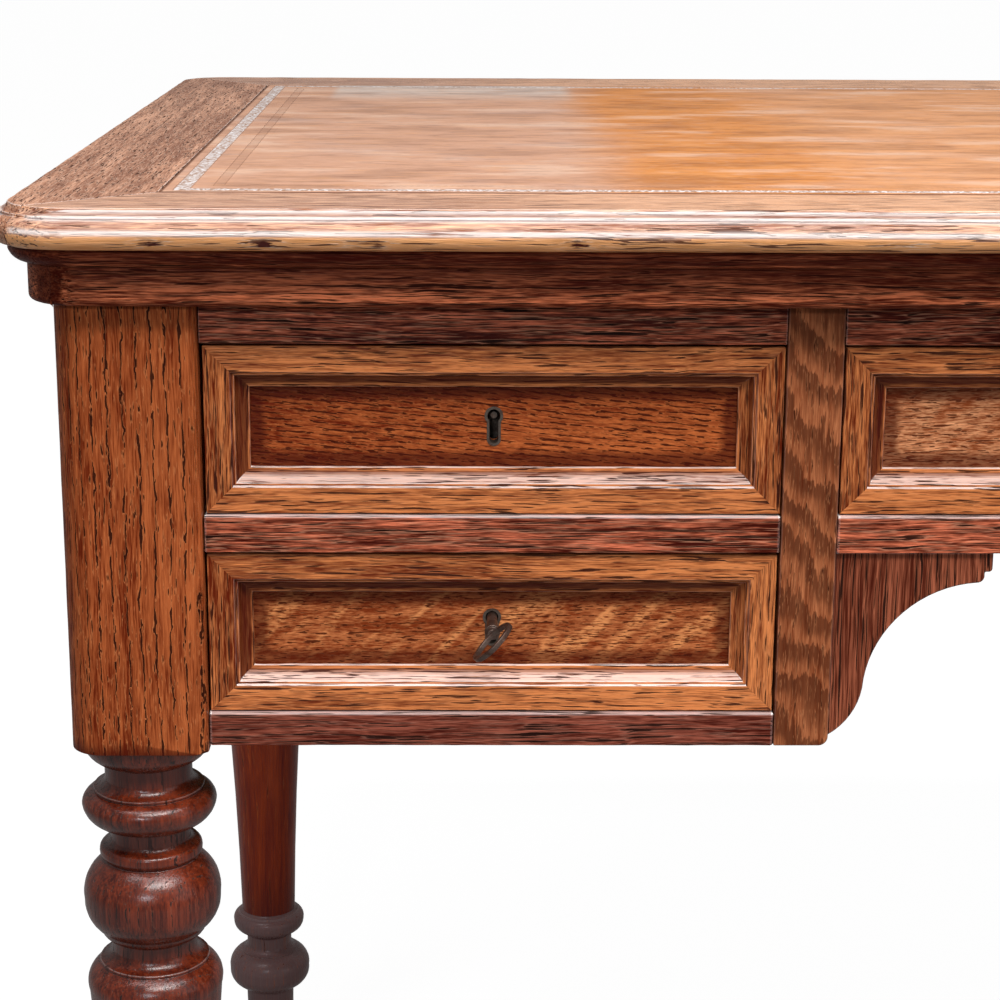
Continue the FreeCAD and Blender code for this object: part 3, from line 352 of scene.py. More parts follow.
def round_arrises(piece, width, segments=2):
    """Bevel every sharp edge and note on each face whether it belongs to an arris, worn pale and painted
    with a highlight.
    """
    mesh = piece.data
    mesh.materials.clear()
    for kind in ("body", "arris"):
        mesh.materials.append(bpy.data.materials.get(kind) or bpy.data.materials.new(kind))
    apply_modifier(piece, "BEVEL", width=width, segments=segments, limit_method="ANGLE",
                   angle_limit=ARRIS_TURN, use_clamp_overlap=False, material=1)
    note_arrises(piece)


def note_arrises(piece):
    """Store on each face how far it looks up, and how strongly an arris is worn pale and painted with a
    highlight; arrises that look up get more.
    """
    mesh = piece.data
    marks = np.zeros(len(mesh.polygons), dtype=np.int32)
    mesh.polygons.foreach_get("material_index", marks)
    normals = np.zeros(len(mesh.polygons) * 3, dtype=np.float32)
    mesh.polygons.foreach_get("normal", normals)
    upward = np.clip((normals.reshape(-1, 3)[:, 2] - LIT_AND_RUBBED_START_SHARE) / LIT_AND_RUBBED_SPAN_SHARE, 0, 1)
    rubbed = LEAST_WORN_SHARE + (1 - LEAST_WORN_SHARE) * upward
    worn = mesh.attributes.get("worn") or mesh.attributes.new("worn", "FLOAT", "FACE")
    worn.data.foreach_set("value", ((marks > 0) * rubbed).astype(np.float32))
    up = mesh.attributes.get("up") or mesh.attributes.new("up", "FLOAT", "FACE")
    up.data.foreach_set("value", upward.astype(np.float32))
    mesh.polygons.foreach_set("material_index", np.zeros(len(mesh.polygons), dtype=np.int32))
    mesh.materials.clear()


def face_islands(mesh):
    """Number of the connected part that each face belongs to."""
    owner = list(range(len(mesh.vertices)))

    def root_of(i):
        while owner[i] != i:
            owner[i] = owner[owner[i]]
            i = owner[i]
        return i

    for edge in mesh.edges:
        a, b = root_of(edge.vertices[0]), root_of(edge.vertices[1])
        if a != b:
            owner[a] = b
    roots = [root_of(face.vertices[0]) for face in mesh.polygons]
    numbers = {root: i for i, root in enumerate(sorted(set(roots)))}
    return np.array([numbers[root] for root in roots])


def lay_grain(piece, part_of_face=None, axis=None, tones=None):
    """Store each face corner's place in its own board: along the grain, then the two ways across."""
    mesh = piece.data
    parts = face_islands(mesh) if part_of_face is None else part_of_face
    totals = np.zeros(len(mesh.polygons), dtype=np.int32)
    mesh.polygons.foreach_get("loop_total", totals)
    corner_vertex = np.zeros(len(mesh.loops), dtype=np.int32)
    mesh.loops.foreach_get("vertex_index", corner_vertex)
    places = np.zeros(len(mesh.vertices) * 3, dtype=np.float32)
    mesh.vertices.foreach_get("co", places)
    corners = places.reshape(-1, 3)[corner_vertex]
    part_of_corner = np.repeat(parts, totals)
    grain = np.zeros_like(corners)
    tone = np.zeros(len(mesh.polygons), dtype=np.float32)
    chance = random.Random(piece.name)
    for part in range(parts.max() + 1):
        mine = part_of_corner == part
        if not mine.any():
            continue
        extent = corners[mine].max(0) - corners[mine].min(0)
        along = AXES[axis] if axis else int(np.argmax(extent))
        order = [along] + [i for i in range(3) if i != along]
        shift = [chance.uniform(0, LOG_LENGTH)]
        shift += [chance.uniform(-LOG_RADIUS, LOG_RADIUS) for _ in range(2)]
        grain[mine] = corners[mine][:, order] + np.array(shift, dtype=np.float32)
        tone[parts == part] = tones[part] if tones else chance.random()
    mesh.attributes.new("grain", "FLOAT_VECTOR", "CORNER").data.foreach_set("vector", grain.ravel())
    mesh.attributes.new("tone", "FLOAT", "FACE").data.foreach_set("value", tone)


def note_hollows(piece, kind):
    """Store at each vertex how strongly the surface is hollow there."""
    radius, spread = HOLLOWS[kind]
    mesh = piece.data
    count = len(mesh.vertices)
    places = np.zeros(count * 3, dtype=np.float32)
    normals = np.zeros(count * 3, dtype=np.float32)
    ends = np.zeros(len(mesh.edges) * 2, dtype=np.int32)
    mesh.vertices.foreach_get("co", places)
    mesh.vertices.foreach_get("normal", normals)
    mesh.edges.foreach_get("vertices", ends)
    places, normals, ends = places.reshape(-1, 3), normals.reshape(-1, 3), ends.reshape(-1, 2)
    first, second = ends[:, 0], ends[:, 1]
    step, turn = places[second] - places[first], normals[second] - normals[first]
    apart = np.maximum((step ** 2).sum(1), MERGE_GAP ** 2)
    bend = np.clip((step * turn).sum(1) / apart * radius, -1, 1)
    weight = np.ones(len(ends), dtype=np.float32)
    value = gathered(count, first, second, bend, bend, weight)
    weight = (apart < HOLLOW_REACH ** 2).astype(np.float32)
    for _ in range(spread):
        around = gathered(count, first, second, value[second], value[first], weight)
        value = (value + around) / 2
    hollow = mesh.attributes.get("hollow") or mesh.attributes.new("hollow", "FLOAT", "POINT")
    hollow.data.foreach_set("value", np.clip(-value, 0, 1).astype(np.float32))


def gathered(count, first, second, to_first, to_second, weight):
    """Mean at each vertex of what its edges bring."""
    total = np.zeros(count)
    share_sum = np.full(count, LEAST_WEIGHT)
    for ends, gift in ((first, to_first), (second, to_second)):
        np.add.at(total, ends, gift * weight)
        np.add.at(share_sum, ends, weight)
    return total / share_sum


def finish_piece(piece, body, slot, material, *nodes):
    """Shade the piece, give it its finish and body, and let it stand for its nodes."""
    select_only(piece)
    bpy.ops.object.shade_smooth_by_angle(angle=SMOOTH_TURN)
    apply_modifier(piece, "WEIGHTED_NORMAL", keep_sharp=True, weight=50)
    piece.data.materials.clear()
    piece.data.materials.append(material)
    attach(piece, body)
    if nodes:
        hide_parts(*nodes)


def dress_node(name, material):
    """Give a node of the construction its finish."""
    mesh = frame["nodes"][name].data
    mesh.materials.clear()
    mesh.materials.append(material)


# Finishes

class Tree:
    """A tree of nodes: each method adds some and returns their output."""

    def __init__(self, tree):
        self.nodes, self.links = tree.nodes, tree.links

    def add(self, kind, **settings):
        node = self.nodes.new(kind)
        for key, value in settings.items():
            setattr(node, key, value)
        return node

    def feed(self, socket, value):
        if isinstance(value, bpy.types.NodeSocket):
            self.links.new(value, socket)
        elif hasattr(socket.default_value, "__len__") and len(socket.default_value) == 4:
            socket.default_value = (*value, 1)
        else:
            socket.default_value = value

    def sum(self, operation, first, second=0.0, clamp=False):
        node = self.add("ShaderNodeMath", operation=operation, use_clamp=clamp)
        self.feed(node.inputs[0], first)
        self.feed(node.inputs[1], second)
        return node.outputs[0]

    def times(self, first, second, clamp=False):
        return self.sum("MULTIPLY", first, second, clamp)

    def plus(self, first, second, clamp=False):
        return self.sum("ADD", first, second, clamp)

    def less(self, first, second, clamp=False):
        return self.sum("SUBTRACT", first, second, clamp)

    def weighted(self, *pairs):
        """Sum of values, each times its share."""
        total, *others = (self.times(value, amount) for value, amount in pairs)
        for other in others:
            total = self.plus(total, other)
        return total

    def seen(self, mirrored):
        """1 to the camera and through glass, and the mirrored share in polish and metal."""
        path = self.add("ShaderNodeLightPath").outputs
        glossy = self.times(path["Is Glossy Ray"], mirrored)
        direct = self.sum("MAXIMUM", path["Is Camera Ray"], glossy)
        return self.sum("MAXIMUM", direct, path["Is Transmission Ray"])


class Finish(Tree):
    """Node tree of one finish."""

    def __init__(self, name):
        self.material = bpy.data.materials.new(name)
        self.material.use_nodes = True
        super().__init__(self.material.node_tree)
        self.surface = self.nodes["Principled BSDF"]

    def attribute(self, name, vector=False):
        node = self.add("ShaderNodeAttribute", attribute_name=name)
        return node.outputs["Vector" if vector else "Fac"]

    def place(self):
        return self.add("ShaderNodeTexCoord").outputs["Object"]

    def parts(self, vector):
        node = self.add("ShaderNodeSeparateXYZ")
        self.feed(node.inputs[0], vector)
        return node.outputs

    def gathered(self, x, y, z):
        node = self.add("ShaderNodeCombineXYZ")
        for socket, value in zip(node.inputs, (x, y, z)):
            self.feed(socket, value)
        return node.outputs[0]

    def turned(self, vector, turn):
        """The pattern's coordinates turned about their third axis."""
        node = self.add("ShaderNodeMapping")
        self.feed(node.inputs["Vector"], vector)
        node.inputs["Rotation"].default_value = (0, 0, turn)
        return node.outputs[0]

    def noise(self, vector, scales, detail=2.0, low=0.3, high=0.7):
        """Cloudy pattern from 0 to 1, scaled along and across, with its contrast stretched."""
        along, across = scales
        stretched = self.add("ShaderNodeVectorMath", operation="MULTIPLY")
        self.feed(stretched.inputs[0], vector)
        self.feed(stretched.inputs[1], (along, across, across))
        node = self.add("ShaderNodeTexNoise")
        self.feed(node.inputs["Vector"], stretched.outputs[0])
        node.inputs["Scale"].default_value = 1
        node.inputs["Detail"].default_value = detail
        node.inputs["Roughness"].default_value = NOISE_ROUGHNESS_SHARE
        return self.fade(node.outputs["Fac"], low, high, smooth=False)

    def fade(self, value, start, end, smooth=True):
        """0 before start, 1 past end, or the other way round when start is the larger."""
        node = self.add("ShaderNodeMapRange", interpolation_type="SMOOTHSTEP" if smooth else "LINEAR")
        self.feed(node.inputs["Value"], value)
        falling = start > end
        node.inputs["From Min"].default_value = min(start, end)
        node.inputs["From Max"].default_value = max(start, end)
        node.inputs["To Min"].default_value = 1 if falling else 0
        node.inputs["To Max"].default_value = 0 if falling else 1
        return node.outputs["Result"]

    def stripe(self, value, start, end, soft):
        """1 between start and end, with soft sides inside them."""
        return self.times(self.fade(value, start, start + soft), self.fade(value, end, end - soft))

    def mix(self, amount, first, second):
        node = self.add("ShaderNodeMix", data_type="RGBA", clamp_factor=True)
        self.feed(node.inputs["Factor"], amount)
        self.feed(node.inputs[6], first)
        self.feed(node.inputs[7], second)
        return node.outputs[2]

    def glaze(self, tint, mask, amount, tone):
        """The tint with a tone laid over it where the mask is, in this amount."""
        return self.mix(self.times(mask, amount), tint, tone)

    def end(self, tint, rough, height, depth, level, metal=0.0, strength=1.0):
        """Feed the shader; level and metal are even all over."""
        self.feed(self.surface.inputs["Base Color"], tint)
        self.feed(self.surface.inputs["Roughness"], rough)
        self.surface.inputs["Specular IOR Level"].default_value = level
        self.surface.inputs["Metallic"].default_value = metal
        bump = self.add("ShaderNodeBump")
        bump.inputs["Strength"].default_value = strength
        bump.inputs["Distance"].default_value = depth
        self.feed(bump.inputs["Height"], height)
        self.feed(self.surface.inputs["Normal"], bump.outputs[0])
        return self.material


NOISE_ROUGHNESS_SHARE = 0.55
MIDDLE = 0.5

# Patterns of the wood: scales per metre along the grain and across it
SWINGS, RIPPLES, PATCHES, JAGS = (5, 16), (30, 60), (5, 25), (200, 150)
LICKS, BULGES, RAYS = (40, 760), (26, 40), (16, 110)

# Shares of fibres, streaks, patches and the board's own tone in how light the wood is
SHADE_SHARES = (0.9, 0.8, 0.5, 0.4)

# How soft a pore's side is, and where the pale halo round it, a painted highlight on the pore's edge,
# starts and ends
DIAGONAL_SHARE = math.sqrt(0.5)
PORE_SOFT_SHARE = 0.05
PORE_HIGHLIGHT_START_SHARE = 0.08
PORE_HIGHLIGHT_END_SHARE = 0.02
PORE_DARK_SHARE = 0.92

# Where on a pattern, from 0 to 1, an effect begins and where it is full
BARE_AND_HIGHLIGHT_SHARES = (0.10, 0.55)
HIGHLIGHT_BREAKUP_SHARES = (0.05, 0.40)
WAX_AND_SHADE_SHARES = (0.0, 0.45)
CHIP_SHARES = (0.62, 0.80)
KNOT_RIM_SHARES = (0.02, 0.3)
KNOT_FIBRE_SHARES = (0.55, 0.75)

# Shares of streaks and fibres in where pale worn wood with its painted highlight and the painted highlight
# lines show, and of knots and fibres in a chip
BARE_AND_HIGHLIGHT_MIX_SHARES = (0.7, 0.5)
HIGHLIGHT_BREAKUP_MIX_SHARES = (0.6, 0.4)
CHIP_MIX_SHARES = (0.8, 0.5)

# How high fibres and streaks stand over the pores
FIBRE_HIGH_SHARE = 0.3
STREAK_HIGH_SHARE = 0.2

# Gloss of the wood: duller in pores and between fibres, brighter where it is rubbed
PORE_DULL_SHARE = 0.25
FIBRE_DULL_SHARE = 0.14
RUBBED_GLOSS_SHARE = 0.08

# Flames of a board sawn through the rings
FLAME_PITCH = 21.5 * MM
LICK_REACH = 20 * MM
BULGE_REACH = 40 * MM
FLAME_LEAN_SHARE = 0.75
FLAME_RISE_SHARES = (0.10, 0.60)
FLAME_FALL_SHARES = (1.0, 0.95)
FLAME_LEAST_SHARE = 0.55
FLAME_FIBRE_SHARE = 0.6

# Silver flecks of a quartered board
RAY_TURN = -0.75
RAY_LOW_SHARE, RAY_HIGH_SHARE = 0.47, 0.60
RAY_FIBRE_SHARES = (0.1, 0.7)


def board_places(wood, axis):
    """Place in the board along the grain and across it twice, with the shares stored with it."""
    if axis is None:
        stored = ("tone", "worn", "hollow", "up", "knot", "gleam")
        return wood.attribute("grain", vector=True), *(wood.attribute(name) for name in stored)
    x, y, z = wood.parts(wood.place())
    first, second, third = {"x": (x, y, z), "y": (y, x, z), "z": (z, x, y)}[axis]
    return wood.gathered(first, second, third), MIDDLE, 0.0, 0.0, 0.0, 0.0, 0.0


def flame_mask(wood, grain, along, across, fibre):
    """Jagged arches, one above the other."""
    lick = wood.noise(grain, LICKS, detail=4, low=0, high=1)
    bulge = wood.noise(grain, BULGES, detail=2, low=0, high=1)
    climb = wood.plus(along, wood.times(across, FLAME_LEAN_SHARE))
    climb = wood.plus(climb, wood.times(lick, LICK_REACH))
    climb = wood.plus(climb, wood.times(bulge, BULGE_REACH))
    saw = wood.sum("FRACT", wood.times(climb, 1 / FLAME_PITCH))
    flame = wood.times(wood.fade(saw, *FLAME_RISE_SHARES), wood.fade(saw, *FLAME_FALL_SHARES))
    strength = wood.plus(FLAME_LEAST_SHARE, wood.times(fibre, FLAME_FIBRE_SHARE))
    return wood.times(flame, strength, clamp=True)


def fleck_mask(wood, along, across, deeper, fibre):
    """Pale bars that lie aslant over the grain."""
    aslant = wood.turned(wood.gathered(along, deeper, across), RAY_TURN)
    ray = wood.noise(aslant, RAYS, detail=2, low=RAY_LOW_SHARE, high=RAY_HIGH_SHARE)
    return wood.times(ray, wood.fade(fibre, *RAY_FIBRE_SHARES))


def oak(name, deep, light, pore=(0.030, 0.008, 0.004), pale=(0.70, 0.28, 0.12), lean=1.3, ring=3.0,
        vein=0.5, pull=0.10, cut=0.62, jag=0.0, wander=4.0, wave=0.8, slant=0.0, dashes=(60, 1100),
        fibres=(90, 1500), streaks=(20, 380), spread=1.0, rim=0.3, flames=0.0, flecks=0.0,
        fleck_tint=None, gloss=0.42, level=0.08, worn=0.6, painted_top_light=0.0, wax_and_shade=0.8, upward_shade_spared=0.9,
        accent_and_painted_light=(1.0, 0.45, 0.15), accent_and_painted_light_share=0.0, depth=0.4, axis=None):
    """Oak finish; ring, wander, wave, jag and depth in millimetres, scales per metre along and across."""
    wood = Finish(name)
    colours = bpy.context.scene.desk_colours
    grain, tone, rubbed, hollow, upward, knot, gleam = board_places(wood, axis)

    # Grain that wanders, and the rings and pores in it
    along, across, deeper = wood.parts(grain)
    swing = wood.noise(grain, SWINGS, detail=1, low=0, high=1)
    ripple = wood.noise(grain, RIPPLES, detail=1, low=0, high=1)
    drift = wood.weighted((swing, 2 * wander * MM), (ripple, 2 * wave * MM))
    across = wood.plus(across, drift)
    deeper = wood.less(wood.plus(deeper, wood.times(along, slant)), drift)
    bent = wood.gathered(along, across, deeper)
    fibre = wood.noise(bent, fibres, detail=3)
    streak = wood.noise(bent, streaks, detail=4)
    patch = wood.noise(grain, PATCHES)
    radius = wood.times(wood.less(across, deeper), DIAGONAL_SHARE)
    if jag:
        jagged = wood.noise(grain, JAGS, detail=1, low=0, high=1)
        radius = wood.plus(radius, wood.times(jagged, 2 * jag * MM))
    phase = wood.sum("FRACT", wood.times(radius, 1 / (ring * MM)))
    band = wood.fade(wood.sum("ABSOLUTE", wood.less(phase, MIDDLE)), vein / 2, 0)
    dash = wood.noise(bent, dashes, detail=1.5, low=0, high=1)
    dash = wood.plus(dash, wood.times(band, pull))
    pores = wood.fade(dash, cut, cut + PORE_SOFT_SHARE)
    pore_highlight = wood.fade(dash, cut - PORE_HIGHLIGHT_START_SHARE, cut - PORE_HIGHLIGHT_END_SHARE)
    pore_highlight = wood.times(pore_highlight, wood.less(1.0, pores))

    # Colour of the wood itself
    patterns = (fibre, streak, patch, tone)
    shade = wood.weighted(*((pattern, part * spread) for pattern, part in zip(patterns, SHADE_SHARES)))
    shade = wood.plus(shade, MIDDLE - spread * sum(SHADE_SHARES) / 2, clamp=True)
    tint = wood.mix(wood.sum("POWER", shade, lean), deep, light)
    if flames:
        tint = wood.glaze(tint, flame_mask(wood, grain, along, across, fibre), flames, pore)
    if flecks:
        tint = wood.glaze(tint, fleck_mask(wood, along, across, deeper, fibre), flecks, fleck_tint)
    # Accent glazed by the stored tone: more orange where the top's board is lighter, painted light on its
    # moulded edge, and a painted sheen on the back legs' feet
    if accent_and_painted_light_share:
        tint = wood.glaze(tint, tone, accent_and_painted_light_share, accent_and_painted_light)
    # Pale halo beside each pore, painted as the highlight on the pore's edge
    tint = wood.glaze(tint, pore_highlight, rim, pale)

    # Worn arrises with painted highlights, painted light on faces that look up, pores, painted highlight
    # lines, wax with painted shade, and knots over it
    # Pale worn wood with a painted highlight on arrises that look up, and painted light on faces that look
    # up
    bare_and_highlight = wood.sum("MAXIMUM", wood.times(rubbed, worn), wood.times(upward, painted_top_light))
    broken = wood.weighted(*zip((streak, fibre), BARE_AND_HIGHLIGHT_MIX_SHARES))
    bare_and_highlight = wood.times(bare_and_highlight, wood.fade(broken, *BARE_AND_HIGHLIGHT_SHARES))
    tint = wood.mix(bare_and_highlight, tint, colours.worn)
    tint = wood.glaze(tint, pores, PORE_DARK_SHARE, pore)
    # Painted highlight lines along the moulded edge, broken by the grain
    highlight_breakup = wood.fade(wood.weighted(*zip((streak, fibre), HIGHLIGHT_BREAKUP_MIX_SHARES)), *HIGHLIGHT_BREAKUP_SHARES)
    tint = wood.glaze(tint, gleam, highlight_breakup, colours.gleam)
    # Wax in the hollows, with painted shade darkening them further; faces that look up are spared this
    # share of it
    wax_and_shade_mask = wood.times(wood.fade(hollow, *WAX_AND_SHADE_SHARES), wax_and_shade)
    wax_and_shade_mask = wood.times(wax_and_shade_mask, wood.less(1.0, wood.times(upward, upward_shade_spared)))
    tint = wood.mix(wax_and_shade_mask, tint, colours.wax)
    knot_rim = wood.fade(knot, *KNOT_RIM_SHARES)
    tint = wood.glaze(tint, knot_rim, wood.fade(fibre, *KNOT_FIBRE_SHARES), pale)
    chip = wood.fade(wood.weighted(*zip((knot, fibre), CHIP_MIX_SHARES)), *CHIP_SHARES)
    tint = wood.mix(chip, tint, colours.wax)

    rough = wood.plus(gloss, wood.times(pores, PORE_DULL_SHARE))
    rough = wood.plus(rough, wood.times(wood.less(MIDDLE, fibre), FIBRE_DULL_SHARE))
    rough = wood.less(rough, wood.times(rubbed, RUBBED_GLOSS_SHARE), clamp=True)
    height = wood.less(wood.times(fibre, FIBRE_HIGH_SHARE), pores)
    height = wood.plus(height, wood.times(streak, STREAK_HIGH_SHARE))
    return wood.end(tint, rough, height, depth * MM, level=level)


# Patterns of the leather
LEATHER_PATTERNS = {
    "blotch": dict(scales=(7, 17), detail=3),
    "wisp": dict(scales=(22, 130), detail=4),
    "mottle": dict(scales=(160, 420), detail=3),
    "drift": dict(scales=(9, 5), low=0, high=1),
    "cloud": dict(scales=(13, 34), detail=4, low=0.38, high=0.66),
    "smudge": dict(scales=(60, 190), detail=4),
    "stipple": dict(scales=(650, 650), detail=1, low=0.38, high=0.62),
    "skin": dict(scales=(900, 900)),
}

# Glazes over the leather: pattern, where on it the glaze begins and is full, its share, and its colour
LEATHER_GLAZES = (
    ("cloud", 0.55, 1.0, 0.42, "leather_bloom"),
    ("cloud", 0.45, 0.0, 0.30, "leather_dark"),
    ("smudge", 0.5, 1.0, 0.24, "leather_light"),
    ("smudge", 0.4, 0.0, 0.20, "leather_dark"),
    ("mottle", 0.5, 1.0, 0.30, "leather_pale"),
    ("mottle", 0.35, 0.0, 0.25, "leather_dark"),
    ("wisp", 0.35, 0.0, 0.30, "leather_dark"),
)

# Scratches: turn, scales, and where on the pattern they begin and are full
SCRATCHES = ((0.35, (14, 900), 0.70, 0.78), (-0.6, (18, 700), 0.72, 0.80))

# Patches of the leather, in metres from the middle of the desk: where each begins and is full; the pale
# left part and the bloom at the right end are painted sheen, the patch at the back a painted window
# reflection
PAINTED_SHEEN_X = (-0.335, -0.385)
PAINTED_SHEEN_DRIFT = 50 * MM
SHEEN_BLOOM_X = (-0.30, -0.23)
REFLECTION_X = (-0.380, -0.392)
REFLECTION_END_X = (-0.550, -0.543)
REFLECTION_Y = (0.15, 0.25)

# How strongly each is seen: light wisps, the painted sheen and its blotches, the painted sheen at the right
# end, the painted window reflection, scratches and creases
WISP_SHARE = 0.42
SHEEN_AND_BLOTCH_SHARES = (0.72, 0.35)
BLOTCH_SHARES = (0.55, 1.0)
SHEEN_BLOOM_SHARE = 0.22
REFLECTION_SHARE = 0.75
SCRATCH_SHARE = 0.5
CREASE_SHARE = 0.75

# The silver is this strong everywhere, and this much stronger where it isn't tarnished
SILVER_SHARE = 0.65
SILVER_BRIGHT_SHARE = 0.35
HATCH_SHARE = 0.28

# Gloss and relief of the leather
LEATHER_ROUGH_SHARE = 0.50
SHEEN_AND_BLOTCH_ROUGH_SHARE = -0.12
MOTTLE_ROUGH_SHARE = 0.10
RELIEF_SHARES = {"skin": 0.4, "mottle": 0.6, "scratches": 0.5, "silver": 0.8}
LEATHER_RELIEF = 0.12 * MM

# Tooling: soft sides of a band, hatching of the inner border, and the dark rim of the leather
BAND_SOFT = 0.5 * MM
HATCH_PITCH = 3.2 * MM
HATCH_SHARES = (0.16, 0.30)
RIM_DARK = (2.4 * MM, 1.2 * MM)
CREASE_SHARES = (0.05, 0.7)


def tooled_leather():
    """Honey brown leather with a painted sheen at one end and a painted window reflection at the back, a
    silvered band and a hatched inner border.
    """
    leather = Finish("tooled_leather")
    colours = bpy.context.scene.desk_colours
    sizes = bpy.context.scene.desk_sizes
    low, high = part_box("leather_surface")
    middle, half = (low + high) / 2, (high - low) / 2
    spot = leather.place()
    x, y, _ = leather.parts(spot)
    aside = leather.less(half.x, leather.sum("ABSOLUTE", leather.less(x, middle.x)))
    before = leather.less(half.y, leather.sum("ABSOLUTE", leather.less(y, middle.y)))
    edge = leather.sum("MINIMUM", aside, before)
    pattern = {name: leather.noise(spot, **look) for name, look in LEATHER_PATTERNS.items()}

    # Painted sheen: the left part is painted pale, mixed with blotches
    faded = leather.fade(leather.plus(x, leather.times(pattern["drift"], PAINTED_SHEEN_DRIFT)), *PAINTED_SHEEN_X)
    blotch = leather.fade(pattern["blotch"], *BLOTCH_SHARES)
    faded = leather.weighted(*zip((faded, blotch), SHEEN_AND_BLOTCH_SHARES))
    tint = leather.glaze(colours.leather, pattern["wisp"], WISP_SHARE, colours.leather_light)
    tint = leather.mix(faded, tint, colours.leather_pale)
    # Painted sheen at the right end
    tint = leather.glaze(tint, leather.fade(x, *SHEEN_BLOOM_X), SHEEN_BLOOM_SHARE, colours.leather_bloom)
    # Painted window reflection: a greyish patch at the back
    window_reflection = leather.times(leather.fade(x, *REFLECTION_X), leather.fade(y, *REFLECTION_Y))
    window_reflection = leather.times(window_reflection, leather.fade(x, *REFLECTION_END_X))
    tint = leather.glaze(tint, window_reflection, REFLECTION_SHARE, colours.window_reflection)
    for name, start, full, amount, tone in LEATHER_GLAZES:
        mask = leather.fade(pattern[name], start, full)
        tint = leather.glaze(tint, mask, amount, getattr(colours, tone))
    scratches = leather.sum("MAXIMUM", *(
        leather.noise(leather.turned(spot, turn), scales, detail=1, low=start, high=full)
        for turn, scales, start, full in SCRATCHES))
    tint = leather.glaze(tint, scratches, SCRATCH_SHARE, colours.leather_dark)

    band = leather.stripe(edge, sizes.band_in, sizes.band_in + sizes.band_wide, BAND_SOFT)
    silver = leather.mix(pattern["stipple"], colours.tarnish, colours.silver)
    bright = leather.plus(leather.times(pattern["stipple"], SILVER_BRIGHT_SHARE), SILVER_SHARE)
    tint = leather.glaze(tint, band, bright, silver)
    chain = leather.stripe(edge, sizes.chain_in, sizes.chain_in + sizes.chain_wide, BAND_SOFT)
    hatch = leather.sum("FRACT", leather.times(leather.plus(x, y), 1 / HATCH_PITCH))
    hatch = leather.fade(leather.sum("ABSOLUTE", leather.less(hatch, MIDDLE)), *HATCH_SHARES)
    tint = leather.glaze(tint, chain, leather.times(hatch, HATCH_SHARE), colours.leather_dark)
    tint = leather.mix(leather.fade(edge, *RIM_DARK), tint, colours.leather_dark)
    crease = leather.fade(leather.attribute("hollow"), *CREASE_SHARES)
    tint = leather.glaze(tint, crease, CREASE_SHARE, colours.leather_dark)

    rough = leather.plus(LEATHER_ROUGH_SHARE, leather.times(faded, SHEEN_AND_BLOTCH_ROUGH_SHARE))
    rough = leather.plus(rough, leather.times(pattern["mottle"], MOTTLE_ROUGH_SHARE), clamp=True)
    height = leather.weighted(*((pattern[name], RELIEF_SHARES[name]) for name in ("skin", "mottle")))
    height = leather.less(height, leather.times(scratches, RELIEF_SHARES["scratches"]))
    pressed = leather.times(leather.times(band, pattern["stipple"]), RELIEF_SHARES["silver"])
    height = leather.less(height, pressed)
    return leather.end(tint, rough, height, LEATHER_RELIEF, level=0.40, strength=0.6)


# Patterns of the steel: scales per metre, and where on the patches rust begins and is full
RUST_PATCHES, FINE_MARKS = (260, 260), (1400, 1400)
RUST_SHARES = (0.45, 0.85)
FINE_SHARE = 0.5
RUST_ROUGH_SHARE = 0.22
STEEL_RELIEF = 0.08 * MM


def worn_steel(name, base, gloss=0.42, rust=0.5):
    """Old steel with patches of rust and fine dark marks."""
    steel = Finish(name)
    colours = bpy.context.scene.desk_colours
    spot = steel.place()
    patch = steel.noise(spot, RUST_PATCHES, detail=3)
    fine = steel.noise(spot, FINE_MARKS)
    tint = steel.glaze(base, steel.fade(patch, *RUST_SHARES), rust, colours.rust)
    tint = steel.glaze(tint, fine, FINE_SHARE, colours.dark_steel)
    rough = steel.plus(gloss, steel.times(patch, RUST_ROUGH_SHARE))
    return steel.end(tint, rough, fine, STEEL_RELIEF, level=0.5, metal=0.75, strength=0.8)


def finish(name):
    """The finish of this name, made when it is first asked for."""
    found = bpy.data.materials.get(name)
    if found:
        return found
    if name in OAKS:
        return oak(name, **OAKS[name])
    return FINISHES[name]()


# Finishes by name
INNER_OAK = dict(
    deep=(0.27, 0.140, 0.065), light=(0.60, 0.40, 0.23), pore=(0.14, 0.07, 0.035), pale=(0.66, 0.46, 0.28),
    ring=4.4, dashes=(34, 800), gloss=0.62, worn=0.3, wax_and_shade=0.4)
FRAME_OAK = dict(
    deep=(0.055, 0.004, 0.001), light=(0.88, 0.225, 0.110), pore=(0.008, 0.002, 0.001),
    pale=(0.90, 0.42, 0.25), lean=1.6, ring=2.7, dashes=(32, 1000), streaks=(20, 420), worn=0.95, painted_top_light=0.5,
    gloss=0.34)
TURNED_OAK = dict(vein=0.26, ring=4.77, jag=0.9)
PANEL_OAK = dict(
    wander=1.2, wave=0.3, dashes=(200, 1300), fibres=(240, 1500), streaks=(50, 380), worn=0.2, wax_and_shade=0.7,
    gloss=0.40, level=0.06)
